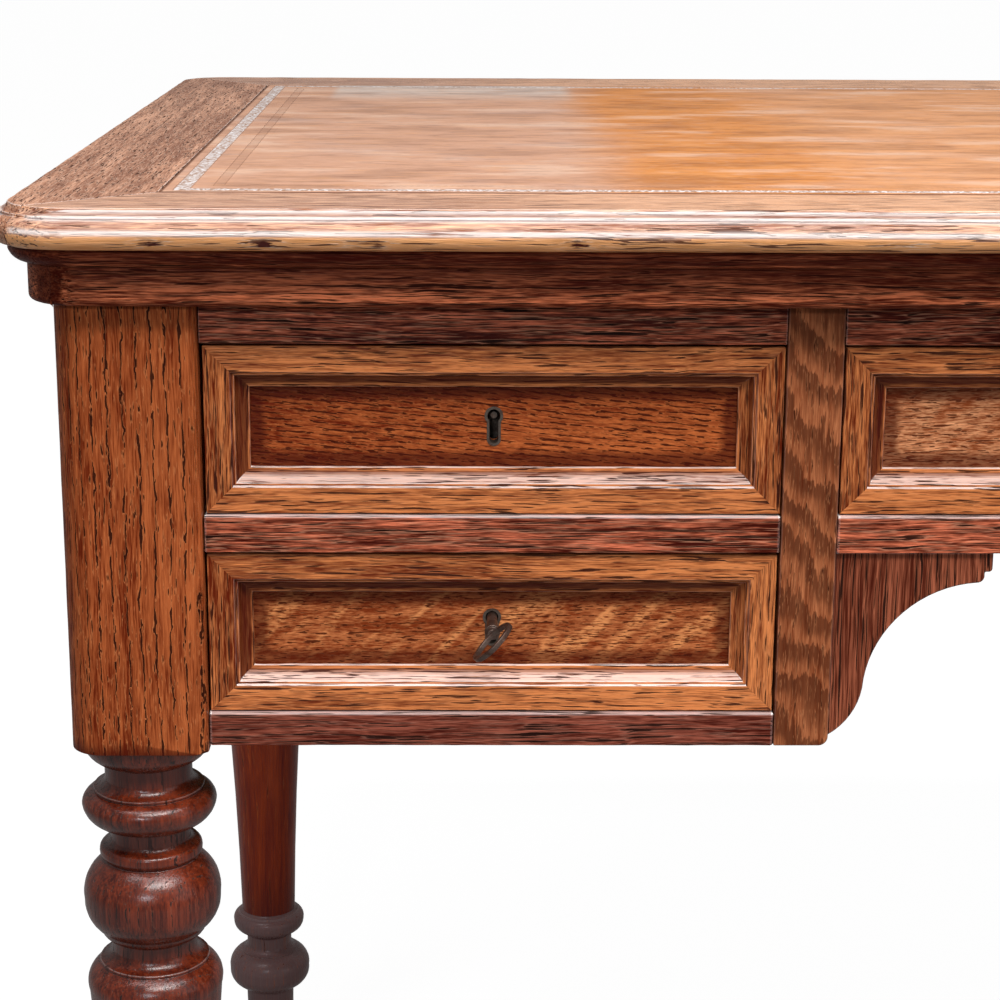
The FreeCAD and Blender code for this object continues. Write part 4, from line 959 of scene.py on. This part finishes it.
OAKS = {
    "top_oak": dict(
        deep=(0.26, 0.075, 0.026), light=(0.92, 0.46, 0.24), pore=(0.090, 0.026, 0.012),
        pale=(0.92, 0.60, 0.40), lean=1.0, ring=3.2, dashes=(40, 1000), fibres=(80, 1500),
        streaks=(18, 420), rim=0.2, gloss=0.24, level=0.22, worn=0.4, painted_top_light=0.12, wax_and_shade=0.85, upward_shade_spared=0.0,
        accent_and_painted_light_share=0.6, depth=0.5),
    "side_top_oak": dict(
        deep=(0.24, 0.090, 0.045), light=(0.80, 0.42, 0.26), pore=(0.070, 0.024, 0.012),
        pale=(0.68, 0.42, 0.30), lean=1.2, ring=3.2, pull=0.06, dashes=(90, 900), streaks=(14, 300),
        rim=0.55, gloss=0.34, worn=0.4, wax_and_shade=0.85, upward_shade_spared=0.0),
    "frieze_oak": dict(
        deep=(0.075, 0.006, 0.001), light=(0.79, 0.215, 0.090), pore=(0.008, 0.002, 0.001),
        pale=(0.74, 0.26, 0.13), lean=2.0, ring=2.9, dashes=(36, 1100), streaks=(18, 400), worn=0.4,
        gloss=0.36, level=0.06),
    "frame_oak": FRAME_OAK,
    # Painted shade: a darker copy of the frame's oak for the bottom rail, which lies in shade
    "low_rail_oak": dict(FRAME_OAK, light=(0.34, 0.090, 0.054), pale=(0.42, 0.19, 0.13), painted_top_light=0.3),
    "stile_oak": dict(
        deep=(0.160, 0.030, 0.008), light=(0.54, 0.185, 0.075), pore=(0.045, 0.006, 0.002), lean=0.9,
        ring=9.0, vein=0.0, pull=0.0, cut=0.66, dashes=(90, 1300), spread=0.7, flames=0.75, gloss=0.44,
        level=0.06, worn=0.35),
    "leg_block_oak": dict(
        TURNED_OAK, deep=(0.135, 0.014, 0.002), light=(0.49, 0.122, 0.035), pore=(0.020, 0.003, 0.001),
        pale=(0.62, 0.21, 0.075), lean=0.9, pull=0.26, cut=0.66, wander=2.5, dashes=(110, 900),
        fibres=(80, 1500), streaks=(22, 300), rim=0.45, gloss=0.34, worn=0.3, depth=0.5),
    "turned_oak": dict(
        TURNED_OAK, deep=(0.034, 0.0018, 0.0003), light=(0.205, 0.032, 0.011), pore=(0.006, 0.001, 0.0005),
        pale=(0.26, 0.09, 0.05), lean=1.2, pull=0.16, cut=0.68, dashes=(40, 900), fibres=(34, 1300),
        streaks=(8, 260), spread=0.85, rim=0.2, gloss=0.25, level=0.48, worn=0.12, depth=0.12),
    # The greyish accent paints the sheen on the feet of the back legs
    "back_leg_oak": dict(
        deep=(0.200, 0.008, 0.001), light=(0.64, 0.080, 0.003), pore=(0.060, 0.006, 0.001),
        pale=(0.80, 0.20, 0.04), lean=1.0, ring=8.0, vein=0.25, wander=6.0, cut=0.72, dashes=(18, 700),
        fibres=(22, 700), streaks=(6, 160), spread=0.55, gloss=0.27, level=0.28, worn=0.1,
        accent_and_painted_light=(0.235, 0.180, 0.182), accent_and_painted_light_share=0.8, depth=0.12),
    "strip_oak": dict(
        deep=(0.125, 0.012, 0.001), light=(0.76, 0.250, 0.078), pore=(0.034, 0.005, 0.002),
        pale=(0.80, 0.32, 0.13), lean=1.2, ring=2.6, dashes=(50, 1100), streaks=(22, 380), rim=0.25,
        gloss=0.34, level=0.12, worn=0.95, painted_top_light=0.5),
    "panel_oak": dict(
        PANEL_OAK, deep=(0.140, 0.012, 0.001), light=(0.61, 0.155, 0.040), pore=(0.055, 0.006, 0.001),
        pale=(0.56, 0.17, 0.05), lean=1.0, ring=2.0, vein=0.7, pull=0.22, cut=0.66, slant=0.10, spread=0.75,
        rim=0.35, gloss=0.38, level=0.08, wax_and_shade=0.75),
    "flecked_oak": dict(
        PANEL_OAK, deep=(0.210, 0.032, 0.006), light=(0.66, 0.215, 0.074), pore=(0.080, 0.012, 0.003),
        pale=(0.60, 0.22, 0.08), lean=1.1, ring=2.6, vein=0.4, wander=2.0, wave=0.8, dashes=(200, 1400),
        slant=-0.02, flecks=0.8, fleck_tint=(0.85, 0.34, 0.12), rim=0.2),
    "centre_oak": dict(
        PANEL_OAK, deep=(0.240, 0.050, 0.012), light=(0.90, 0.370, 0.170), pore=(0.110, 0.022, 0.007),
        pale=(0.90, 0.42, 0.20), lean=1.2, ring=2.8, vein=0.4, wander=3.0, wave=0.8, dashes=(160, 1300),
        fibres=(200, 1500), streaks=(40, 380), flecks=0.35, fleck_tint=(0.90, 0.45, 0.22), rim=0.2),
    "bracket_oak": dict(
        deep=(0.070, 0.009, 0.003), light=(0.44, 0.125, 0.062), pore=(0.010, 0.003, 0.002),
        pale=(0.50, 0.16, 0.08), ring=3.6, vein=0.42, pull=0.12, dashes=(20, 1000), fibres=(40, 1300),
        streaks=(10, 400), gloss=0.40, worn=0.45, painted_top_light=0.3),
    "wall_oak": dict(
        deep=(0.090, 0.012, 0.004), light=(0.46, 0.130, 0.052), pore=(0.018, 0.004, 0.002),
        pale=(0.55, 0.19, 0.08), lean=1.4, ring=4.2, pull=0.12, dashes=(30, 950), streaks=(14, 340),
        worn=0.5),
    "inner_oak_x": dict(INNER_OAK, axis="x"),
    "inner_oak_y": dict(INNER_OAK, axis="y"),
}
FINISHES = {
    "tooled_leather": tooled_leather,
    "dark_lock_steel": lambda: worn_steel("dark_lock_steel", (0.13, 0.10, 0.08)),
    "key_steel": lambda: worn_steel("key_steel", (0.13, 0.085, 0.068), gloss=0.30, rust=0.8),
}


# Pieces

class DESK_OT_leather(bpy.types.Operator):
    """Lay the leather with its tooled lines"""
    bl_idname = "desk.leather"
    bl_label = "Leather"

    def execute(self, context):
        sizes = context.scene.desk_sizes
        low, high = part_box("leather_surface")
        gap = Vector((sizes.leather_gap, sizes.leather_gap, 0))
        piece = board("writing_leather", low + gap, high - gap)
        select_only(piece)
        clear_selection("FACE")
        for face in piece.data.polygons:
            face.select = face.normal.z > UPRIGHT_SHARE
        bpy.ops.object.mode_set(mode="EDIT")
        bpy.ops.mesh.inset(thickness=sizes.leather_rim)
        reached = sizes.leather_gap + sizes.leather_rim
        for line in (sizes.band_in, sizes.band_in + sizes.band_wide, sizes.chain_in,
                     sizes.chain_in + sizes.chain_wide):
            bpy.ops.mesh.inset(thickness=line - sizes.crease_wide - reached)
            bpy.ops.mesh.inset(thickness=sizes.crease_wide, depth=-sizes.crease_deep)
            bpy.ops.mesh.inset(thickness=sizes.crease_wide, depth=sizes.crease_deep)
            reached = line + sizes.crease_wide
        bpy.ops.mesh.inset(thickness=sizes.leather_field)
        bpy.ops.mesh.subdivide(number_cuts=LEATHER_CUTS)
        bpy.ops.object.mode_set(mode="OBJECT")
        weather(piece, sizes.leather_swell, sizes.swell_wide)
        round_arrises(piece, sizes.small_arris)
        note_hollows(piece, "leather")
        finish_piece(piece, "root", "leather", finish("tooled_leather"), "leather_surface")
        return {"FINISHED"}


def set_tones(piece, choose):
    """Store for each face the tone that choose gives it."""
    tone = piece.data.attributes["tone"].data
    for face in piece.data.polygons:
        tone[face.index].value = choose(face)


def deepen_painted_shade(piece, least_share, inside):
    """Raise the stored hollow, and so the painted shade, to a least share at the points that lie inside."""
    hollow = piece.data.attributes["hollow"].data
    for vertex in piece.data.vertices:
        if inside(vertex.co):
            hollow[vertex.index].value = max(hollow[vertex.index].value, least_share)


def dent_knots(piece, sizes):
    """Sink the small dark knots of the front edge and store how near each point lies to one."""
    low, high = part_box("top_front_rail")
    middle = low.z + sizes.knot_up
    knot = piece.data.attributes.new("knot", "FLOAT", "POINT")
    for vertex in piece.data.vertices:
        if vertex.co.y > low.y + sizes.knot_reach:
            continue
        near = 0
        for place, wide in KNOTS:
            aside = (vertex.co.x - place) / wide
            above = (vertex.co.z - middle) / sizes.knot_high
            near = max(near, 1 - math.sqrt(aside * aside + above * above))
        knot.data[vertex.index].value = near
        vertex.co.y += sizes.knot_deep * near


def note_painted_highlights(piece, sizes):
    """Store where bright lines are painted as highlights along the moulded edge, and paint its lower round
    lighter and its upper part darker as the light falls on them.
    """
    low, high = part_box("top_front_rail")
    mesh = piece.data
    gleam = mesh.attributes.new("gleam", "FLOAT", "POINT")
    side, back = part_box("top_right_rail")[1].x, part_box("top_back_rail")[1].y
    for vertex in mesh.vertices:
        x, y, z = vertex.co
        inside = min(y - low.y, back - y, side - abs(x))
        value = 0
        if inside < sizes.painted_highlight_reach:
            for place, half, much in PAINTED_HIGHLIGHT_LINES:
                value = max(value, much * (1 - abs(high.z - z - place) / half))
        gleam.data[vertex.index].value = value

    def tone_of(face):
        if face.center.z < low.z + sizes.torus_middle:
            return EDGE_LIGHT_TONES["round"]
        if face.center.z <= high.z - sizes.worn_depth:
            return EDGE_LIGHT_TONES["hollow"]
        nearness = min(1, max(0, TOP_TONE_START - TOP_TONE_FALL * abs(face.center.x)))
        return TOP_TONE_LEAST + TOP_TONE_RISE * nearness

    set_tones(piece, tone_of)


class DESK_OT_top_frame(bpy.types.Operator):
    """Make the four moulded boards round the leather"""
    bl_idname = "desk.top_frame"
    bl_label = "Top frame"

    def execute(self, context):
        sizes = context.scene.desk_sizes
        for side in TOP_SIDES:
            node = "top_%s_rail" % side
            piece = copy_of("moulded_top_" + side, node)
            lengthwise = side in ("front", "back")
            cut_along(piece, "x" if lengthwise else "y", TOP_CUTS)
            wear(piece, "top")
            dent_knots(piece, sizes)
            round_arrises(piece, sizes.small_arris)
            lay_grain(piece)
            note_hollows(piece, "top")
            note_painted_highlights(piece, sizes)
            look = "top_oak" if lengthwise else "side_top_oak"
            finish_piece(piece, "root", "oak_top", finish(look), node)
        dress_node("top_panel", finish("inner_oak_x"))
        return {"FINISHED"}


def shade_frieze(piece, low, high, sizes):
    """Paint shade into the corner under the top, and a painted shadow on the ends that stand out past the
    legs.
    """
    lengthwise = AXES["x" if high.x - low.x > high.y - low.y else "y"]
    deepen_painted_shade(piece, UNDER_TOP_SHADE_SHARE, lambda point: point.z > high.z - sizes.bed_fall)
    deepen_painted_shade(piece, FRIEZE_END_SHADE_SHARE, lambda point: min(
        point[lengthwise] - low[lengthwise], high[lengthwise] - point[lengthwise]) < sizes.end_shadow)


class DESK_OT_frieze(bpy.types.Operator):
    """Make the four frieze boards with their bed mould"""
    bl_idname = "desk.frieze"
    bl_label = "Frieze"

    def execute(self, context):
        sizes = context.scene.desk_sizes
        for side in TOP_SIDES:
            node = "frieze_" + side
            piece = copy_of("frieze_board_" + side, node)
            cut_along(piece, "x" if side in ("front", "back") else "y", sizes.cut_spacing)
            wear(piece, "frieze")
            round_arrises(piece, sizes.small_arris)
            lay_grain(piece)
            set_tones(piece, lambda face: FRIEZE_SHADE_TONES[
                "underside" if face.normal.z < UNDERSIDE_SHARE else "front"])
            note_hollows(piece, "frieze")
            shade_frieze(piece, *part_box(node), sizes)
            finish_piece(piece, "root", "oak_frieze", finish("frieze_oak"), node)
        return {"FINISHED"}


def lighten_middle(piece):
    """The rail under the centre drawer is the lightest."""
    stile = abs(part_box("left_stile")[1].x)
    set_tones(piece, lambda face: RAIL_TONES["kneehole" if abs(face.center.x) < stile else "drawers"])


class DESK_OT_front_frame(bpy.types.Operator):
    """Make the rails, stiles and brackets of the front"""
    bl_idname = "desk.front_frame"
    bl_label = "Front frame"

    def execute(self, context):
        sizes = context.scene.desk_sizes
        for node in ("upper_rails", "middle_rails", "bottom_rails"):
            piece = copy_of("front_" + node, node)
            cut_along(piece, "x", RAIL_CUTS)
            wear(piece, "rail")
            round_arrises(piece, sizes.arris if node == "upper_rails" else sizes.rail_arris)
            lay_grain(piece)
            if node == "middle_rails":
                lighten_middle(piece)
            look = "low_rail_oak" if node == "bottom_rails" else "frame_oak"
            finish_piece(piece, "root", "oak_frame", finish(look), node)
        for hand in ("left", "right"):
            node = hand + "_stile"
            piece = copy_of(hand + "_front_stile", node)
            cut_along(piece, "z", sizes.cut_spacing)
            wear(piece, "stile")
            round_arrises(piece, sizes.arris)
            lay_grain(piece, axis="z")
            finish_piece(piece, "root", "oak_frame", finish("stile_oak"), node)
        for place in ("front", "back"):
            node = place + "_brackets"
            piece = copy_of(place + "_shaped_brackets", node)
            round_arrises(piece, sizes.arris, segments=3)
            lay_grain(piece, axis="z")
            finish_piece(piece, "root", "oak_frame", finish("bracket_oak"), node)
        return {"FINISHED"}


class DESK_OT_legs(bpy.types.Operator):
    """Turn the four legs with their square blocks"""
    bl_idname = "desk.legs"
    bl_label = "Legs"

    def execute(self, context):
        sizes = context.scene.desk_sizes
        for place in LEGS:
            node = place + "_leg"
            piece = copy_of("turned_%s_leg" % place, node)
            cut_along(piece, "z", sizes.cut_spacing)
            wear(piece, "leg")
            round_arrises(piece, sizes.small_arris)
            lay_grain(piece, axis="z")
            note_hollows(piece, "leg")
            finish_piece(piece, "root", "oak_leg", finish("leg_block_oak"), node)
            end = place.split("_")[0]
            piece.data.materials.append(finish("turned_oak" if end == "front" else "back_leg_oak"))
            low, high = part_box(node)
            middle = (low + high) / 2
            foot = min(v.co.z for v in piece.data.vertices
                       if math.hypot(v.co.x - middle.x, v.co.y - middle.y) > sizes.turned_reach)
            # Painted shade along the foot of the leg's square block
            hollow = piece.data.attributes["hollow"].data
            for vertex in piece.data.vertices:
                if abs(vertex.co.z - foot) < 2 * sizes.small_arris:
                    hollow[vertex.index].value = BLOCK_FOOT_SHADE_SHARE
            for face in piece.data.polygons:
                face.material_index = int(face.center.z < foot)
            set_tones(piece, lambda face: LEG_TONES[
                "block" if face.center.z > foot
                else "foot" if face.center.z < sizes.ring_height else end])
        return {"FINISHED"}


class DESK_OT_walls(bpy.types.Operator):
    """Make the side walls and the back with their sunk panels"""
    bl_idname = "desk.walls"
    bl_label = "Side walls and back"

    def execute(self, context):
        sizes = context.scene.desk_sizes
        for node in ("left_side_panel", "right_side_panel", "back_frame", "back_panels"):
            piece = copy_of("framed_" + node, node)
            round_arrises(piece, sizes.arris)
            lay_grain(piece)
            finish_piece(piece, "root", "oak_frame", finish("wall_oak"), node)
        for node in ("left_partition", "right_partition", "drawer_runners"):
            dress_node(node, finish("inner_oak_y"))
        dress_node("top_buttons", finish("inner_oak_x"))
        return {"FINISHED"}


def moulded_frame(name, low, high, sizes):
    """Four mitred strips in one, drawn as a face that is inset and sunk step by step."""
    bpy.ops.object.select_all(action="DESELECT")
    middle = (low + high) / 2
    bpy.ops.mesh.primitive_plane_add(size=1, location=(middle.x, low.y, middle.z),
                                     rotation=(math.pi / 2, 0, 0))
    piece = bpy.context.object
    piece.scale = (high.x - low.x, high.z - low.z, 1)
    bpy.ops.object.transform_apply(location=True, rotation=True, scale=True)
    piece.name = piece.data.name = name
    bpy.ops.object.mode_set(mode="EDIT")
    bpy.ops.mesh.select_mode(type="FACE")
    bpy.ops.mesh.select_all(action="SELECT")
    thick = high.y - low.y
    draft = sizes.strip_draft
    hollow_in = sizes.strip_flat + sizes.strip_bead
    hollow_wide = sizes.strip_wide - sizes.strip_lip - hollow_in
    hollow_deep = thick - sizes.strip_edge - sizes.strip_drop
    bpy.ops.mesh.inset(thickness=sizes.strip_flat - draft)
    bpy.ops.mesh.inset(thickness=draft, depth=-sizes.strip_drop)
    bpy.ops.mesh.inset(thickness=sizes.strip_bead)
    for i in range(HOLLOW_STEPS):
        start, end = (math.pi / 2 * j / HOLLOW_STEPS for j in (i, i + 1))
        bpy.ops.mesh.inset(thickness=hollow_wide * (math.cos(start) - math.cos(end)),
                           depth=-hollow_deep * (math.sin(end) - math.sin(start)))
    bpy.ops.mesh.inset(thickness=sizes.strip_lip - draft)
    bpy.ops.mesh.inset(thickness=draft, depth=-sizes.strip_edge)
    bpy.ops.mesh.delete(type="ONLY_FACE")
    clear_selection("EDGE")
    select_outline(piece, low, high)
    bpy.ops.object.mode_set(mode="EDIT")
    bpy.ops.mesh.extrude_edges_move(TRANSFORM_OT_translate={"value": (0, thick, 0)})
    bpy.ops.mesh.select_all(action="DESELECT")
    bpy.ops.mesh.select_non_manifold()
    bpy.ops.mesh.bridge_edge_loops()
    bpy.ops.mesh.select_all(action="SELECT")
    bpy.ops.mesh.normals_make_consistent(inside=False)
    bpy.ops.object.mode_set(mode="OBJECT")
    return piece


def select_outline(piece, low, high):
    """Select the edges that lie on the outline of the piece's box, seen from the front."""
    mesh = piece.data
    for edge in mesh.edges:
        edge.select = all(beyond(mesh.vertices[i].co, low, high, NEAR) for i in edge.vertices)


def strip_of_face(mesh, low, high):
    """Which strip each face belongs to, in STRIP_TONES' order: the one whose outer edge is nearest."""
    centres = np.zeros(len(mesh.polygons) * 3, dtype=np.float32)
    mesh.polygons.foreach_get("center", centres)
    centres = centres.reshape(-1, 3)
    away = np.stack([centres[:, 0] - low.x, high.x - centres[:, 0], centres[:, 2] - low.z,
                     high.z - centres[:, 2]])
    return np.argmin(away, axis=0)


def beyond(point, low, high, reach):
    """Whether a point lies within reach of the outer walls of a box seen from the front."""
    return min(point.x - low.x, high.x - point.x, point.z - low.z, high.z - point.z) < reach


def blacken_gap(piece, low, high, reach):
    """No pale worn wood, painted highlight or painted light in the narrow gap round a drawer."""
    worn, up = (piece.data.attributes[name].data for name in ("worn", "up"))
    for face in piece.data.polygons:
        if beyond(face.center, low, high, reach):
            worn[face.index].value = up[face.index].value = 0


def shade_gap(piece, low, high, reach, strip):
    """Painted shade fills the gap round a drawer; the strip at the right, where more light falls, keeps
    less of its painted shade.
    """
    hollow = piece.data.attributes["hollow"].data
    for vertex in piece.data.vertices:
        if vertex.co.y > low.y + reach and beyond(vertex.co, low, high, reach):
            hollow[vertex.index].value = 1
        elif high.x - vertex.co.x < strip:
            hollow[vertex.index].value *= RIGHT_STRIP_SHADE_SHARE


class DESK_OT_drawer_faces(bpy.types.Operator):
    """Make each drawer's board and the moulding round it"""
    bl_idname = "desk.drawer_faces"
    bl_label = "Drawer faces"

    def execute(self, context):
        sizes = context.scene.desk_sizes
        for drawer in DRAWERS:
            low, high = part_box(drawer + "_moulding")
            moulding = moulded_frame(drawer + "_mitred_moulding", low, high, sizes)
            for axis in ("x", "z"):
                cut_along(moulding, axis, STRIP_CUTS, least_share=0.5)
            wear(moulding, "moulding")
            round_arrises(moulding, sizes.small_arris)
            blacken_gap(moulding, low, high, 2 * sizes.small_arris)
            strips = strip_of_face(moulding.data, low, high)
            lay_grain(moulding, part_of_face=strips, tones=list(STRIP_TONES.values()))
            note_hollows(moulding, "moulding")
            shade_gap(moulding, low, high, sizes.arris, sizes.strip_wide)
            finish_piece(moulding, drawer + "_drawer", "oak_moulding", finish("strip_oak"),
                         drawer + "_moulding")

            face = copy_of(drawer + "_panel_board", drawer + "_front")
            darken_rim(face, low, high, sizes.strip_wide, sizes.mould_shadow)
            lay_grain(face, axis="x")
            if drawer.startswith("upper"):
                paint_light_across(face, low, high)
            look = PANEL_LOOKS[drawer.split("_")[0]]
            finish_piece(face, drawer + "_drawer", "oak_drawer", finish(look), drawer + "_front")
        return {"FINISHED"}


def paint_light_across(piece, low, high):
    """Painted light: the board is painted lighter from its left end to its right."""
    mesh = piece.data
    mesh.attributes.remove(mesh.attributes["tone"])
    tone = mesh.attributes.new("tone", "FLOAT", "POINT").data
    for vertex in mesh.vertices:
        along = (vertex.co.x - low.x) / (high.x - low.x)
        tone[vertex.index].value = BOARD_LIGHT_START + BOARD_LIGHT_RISE * along


def darken_rim(piece, low, high, inset, reach):
    """Store how near each point lies to the inner edge of the moulding in front of it, for the painted
    shade beside the moulding.
    """
    select_only(piece)
    bpy.ops.object.mode_set(mode="EDIT")
    for depth in (inset, inset + reach / 3, inset + reach):
        for point, normal in (((low.x + depth, 0, 0), (1, 0, 0)), ((high.x - depth, 0, 0), (1, 0, 0)),
                              ((0, 0, low.z + depth), (0, 0, 1)), ((0, 0, high.z - depth), (0, 0, 1))):
            bpy.ops.mesh.select_all(action="SELECT")
            bpy.ops.mesh.bisect(plane_co=point, plane_no=normal)
    bpy.ops.object.mode_set(mode="OBJECT")
    hollow = piece.data.attributes.new("hollow", "FLOAT", "POINT")
    for vertex in piece.data.vertices:
        x, y, z = vertex.co
        inside = min(x - low.x, high.x - x, z - low.z, high.z - z) - inset
        hollow.data[vertex.index].value = max(0, min(1, 1 - inside / reach)) ** RIM_POWER


class DESK_OT_drawer_boxes(bpy.types.Operator):
    """Finish the drawers' sides, backs and bottoms"""
    bl_idname = "desk.drawer_boxes"
    bl_label = "Drawer boxes"

    def execute(self, context):
        for drawer in DRAWERS:
            dress_node(drawer + "_box", finish("inner_oak_y"))
            dress_node(drawer + "_bottom", finish("inner_oak_x"))
        return {"FINISHED"}


class DESK_OT_locks(bpy.types.Operator):
    """Finish the locks and their bolts"""
    bl_idname = "desk.locks"
    bl_label = "Locks and bolts"

    def execute(self, context):
        for drawer in DRAWERS:
            dress_node(drawer + "_lock", finish("dark_lock_steel"))
            dress_node(drawer + "_bolt", finish("dark_lock_steel"))
        return {"FINISHED"}


class DESK_OT_key(bpy.types.Operator):
    """Round the key"""
    bl_idname = "desk.key"
    bl_label = "Key"

    def execute(self, context):
        sizes = context.scene.desk_sizes
        piece = copy_of("forged_key", "key")
        round_arrises(piece, sizes.key_arris, segments=3)
        finish_piece(piece, "lock_key", "lock_steel", finish("key_steel"), "key")
        return {"FINISHED"}


# Lamps: place, width and height, what each is aimed at, and its tint
LAMPS = {
    "key": ((0.1, -1.7, 2.7), (1.8, 0.6), (-0.2, -0.3, 0.6), (1, 0.98, 0.96)),
    "strip": ((-0.3, -0.75, 2.3), (2.6, 0.15), (-0.3, -0.35, 0.7), (0.95, 0.97, 1)),
    "fill": ((2.4, -1.9, 1.5), (1.8, 1.8), (0.1, -0.2, 0.5), (1, 1, 1)),
    "spark": ((-0.80, -2.6, 1.45), (0.40, 0.16), (-0.45, -0.37, 0.75), (0.88, 0.93, 1)),
}
WHITE = (1, 1, 1)
FLOOR_WIDE = 60
FLOOR_ROUGHNESS_SHARE = 0.9
SENSOR_WIDE = 36


class DESK_OT_stage(bpy.types.Operator):
    """Set up the floor, the lamps and the camera"""
    bl_idname = "desk.stage"
    bl_label = "Stage"

    def execute(self, context):
        stage = context.scene.stage_sizes
        self.floor(stage)
        self.sky(context.scene, stage)
        for name, placing in LAMPS.items():
            self.lamp(name + "_lamp", getattr(stage, name + "_power"), *placing)
        self.camera(context.scene, stage)
        context.scene.view_settings.view_transform = "Standard"
        return {"FINISHED"}

    def floor(self, stage):
        bpy.ops.object.select_all(action="DESELECT")
        bpy.ops.mesh.primitive_plane_add(size=FLOOR_WIDE)
        plane = bpy.context.object
        plane.name = "floor"
        pale = Finish("pale_floor")
        pale.feed(pale.surface.inputs["Base Color"], tuple(stage.floor))
        pale.feed(pale.surface.inputs["Roughness"], FLOOR_ROUGHNESS_SHARE)
        pale.feed(pale.surface.inputs["Specular IOR Level"], 0)
        pale.feed(pale.surface.inputs["Emission Color"], WHITE)
        glow = pale.times(pale.seen(stage.mirrored), stage.floor_glow)
        pale.feed(pale.surface.inputs["Emission Strength"], glow)
        plane.data.materials.append(pale.material)

    def sky(self, scene, stage):
        scene.world = bpy.data.worlds.new("studio")
        scene.world.use_nodes = True
        air = Tree(scene.world.node_tree)
        strength = air.add("ShaderNodeMapRange")
        air.feed(strength.inputs["Value"], air.seen(stage.mirrored))
        air.feed(strength.inputs["To Min"], stage.sky)
        air.feed(strength.inputs["To Max"], 1)
        background = air.nodes["Background"]
        air.feed(background.inputs["Color"], WHITE)
        air.feed(background.inputs["Strength"], strength.outputs["Result"])

    def lamp(self, name, power, place, size, target, tint):
        bpy.ops.object.light_add(type="AREA", location=place)
        lamp = bpy.context.object
        lamp.name = name
        lamp.data.shape = "RECTANGLE"
        lamp.data.size, lamp.data.size_y = size
        lamp.data.energy = power
        lamp.data.color = tint
        aim = Vector(target) - Vector(place)
        lamp.rotation_euler = aim.to_track_quat("-Z", "Y").to_euler()

    def camera(self, scene, stage):
        bpy.ops.object.camera_add(location=stage.camera_place)
        camera = bpy.context.object
        camera.name = "photo_camera"
        camera.data.sensor_width = SENSOR_WIDE
        camera.data.lens = stage.camera_lens
        camera.matrix_world = (
            Matrix.Translation(stage.camera_place) @ Matrix.Rotation(stage.camera_yaw, 4, "Z")
            @ Matrix.Rotation(math.pi / 2 - stage.camera_pitch, 4, "X")
            @ Matrix.Rotation(stage.camera_roll, 4, "Z"))
        scene.camera = camera


class DESK_PT_panel(bpy.types.Panel):
    """List what can be made, and the sizes and colours that can be changed"""
    bl_label = "Writing desk"
    bl_idname = "DESK_PT_panel"
    bl_space_type = "VIEW_3D"
    bl_region_type = "UI"
    bl_category = "Desk"

    def draw(self, context):
        for operator in OPERATORS:
            self.layout.operator(operator.bl_idname)
        for group in (context.scene.desk_sizes, context.scene.desk_colours, context.scene.stage_sizes):
            for key in group.__annotations__:
                self.layout.prop(group, key)


GROUPS = {"desk_sizes": DeskSizes, "desk_colours": DeskColours, "stage_sizes": StageSizes}
OPERATORS = (DESK_OT_leather, DESK_OT_top_frame, DESK_OT_frieze, DESK_OT_front_frame, DESK_OT_legs,
             DESK_OT_walls, DESK_OT_drawer_faces, DESK_OT_drawer_boxes, DESK_OT_locks, DESK_OT_key,
             DESK_OT_stage)
CLASSES = (*GROUPS.values(), *OPERATORS, DESK_PT_panel)


def register():
    for kind in CLASSES:
        bpy.utils.register_class(kind)
    for name, kind in GROUPS.items():
        setattr(bpy.types.Scene, name, bpy.props.PointerProperty(type=kind))


def unregister():
    for name in GROUPS:
        delattr(bpy.types.Scene, name)
    for kind in reversed(CLASSES):
        bpy.utils.unregister_class(kind)


def main():
    register()
    for operator in OPERATORS:
        group, name = operator.bl_idname.split(".")
        getattr(getattr(bpy.ops, group), name)()


if __name__ == "__main__":
    main()
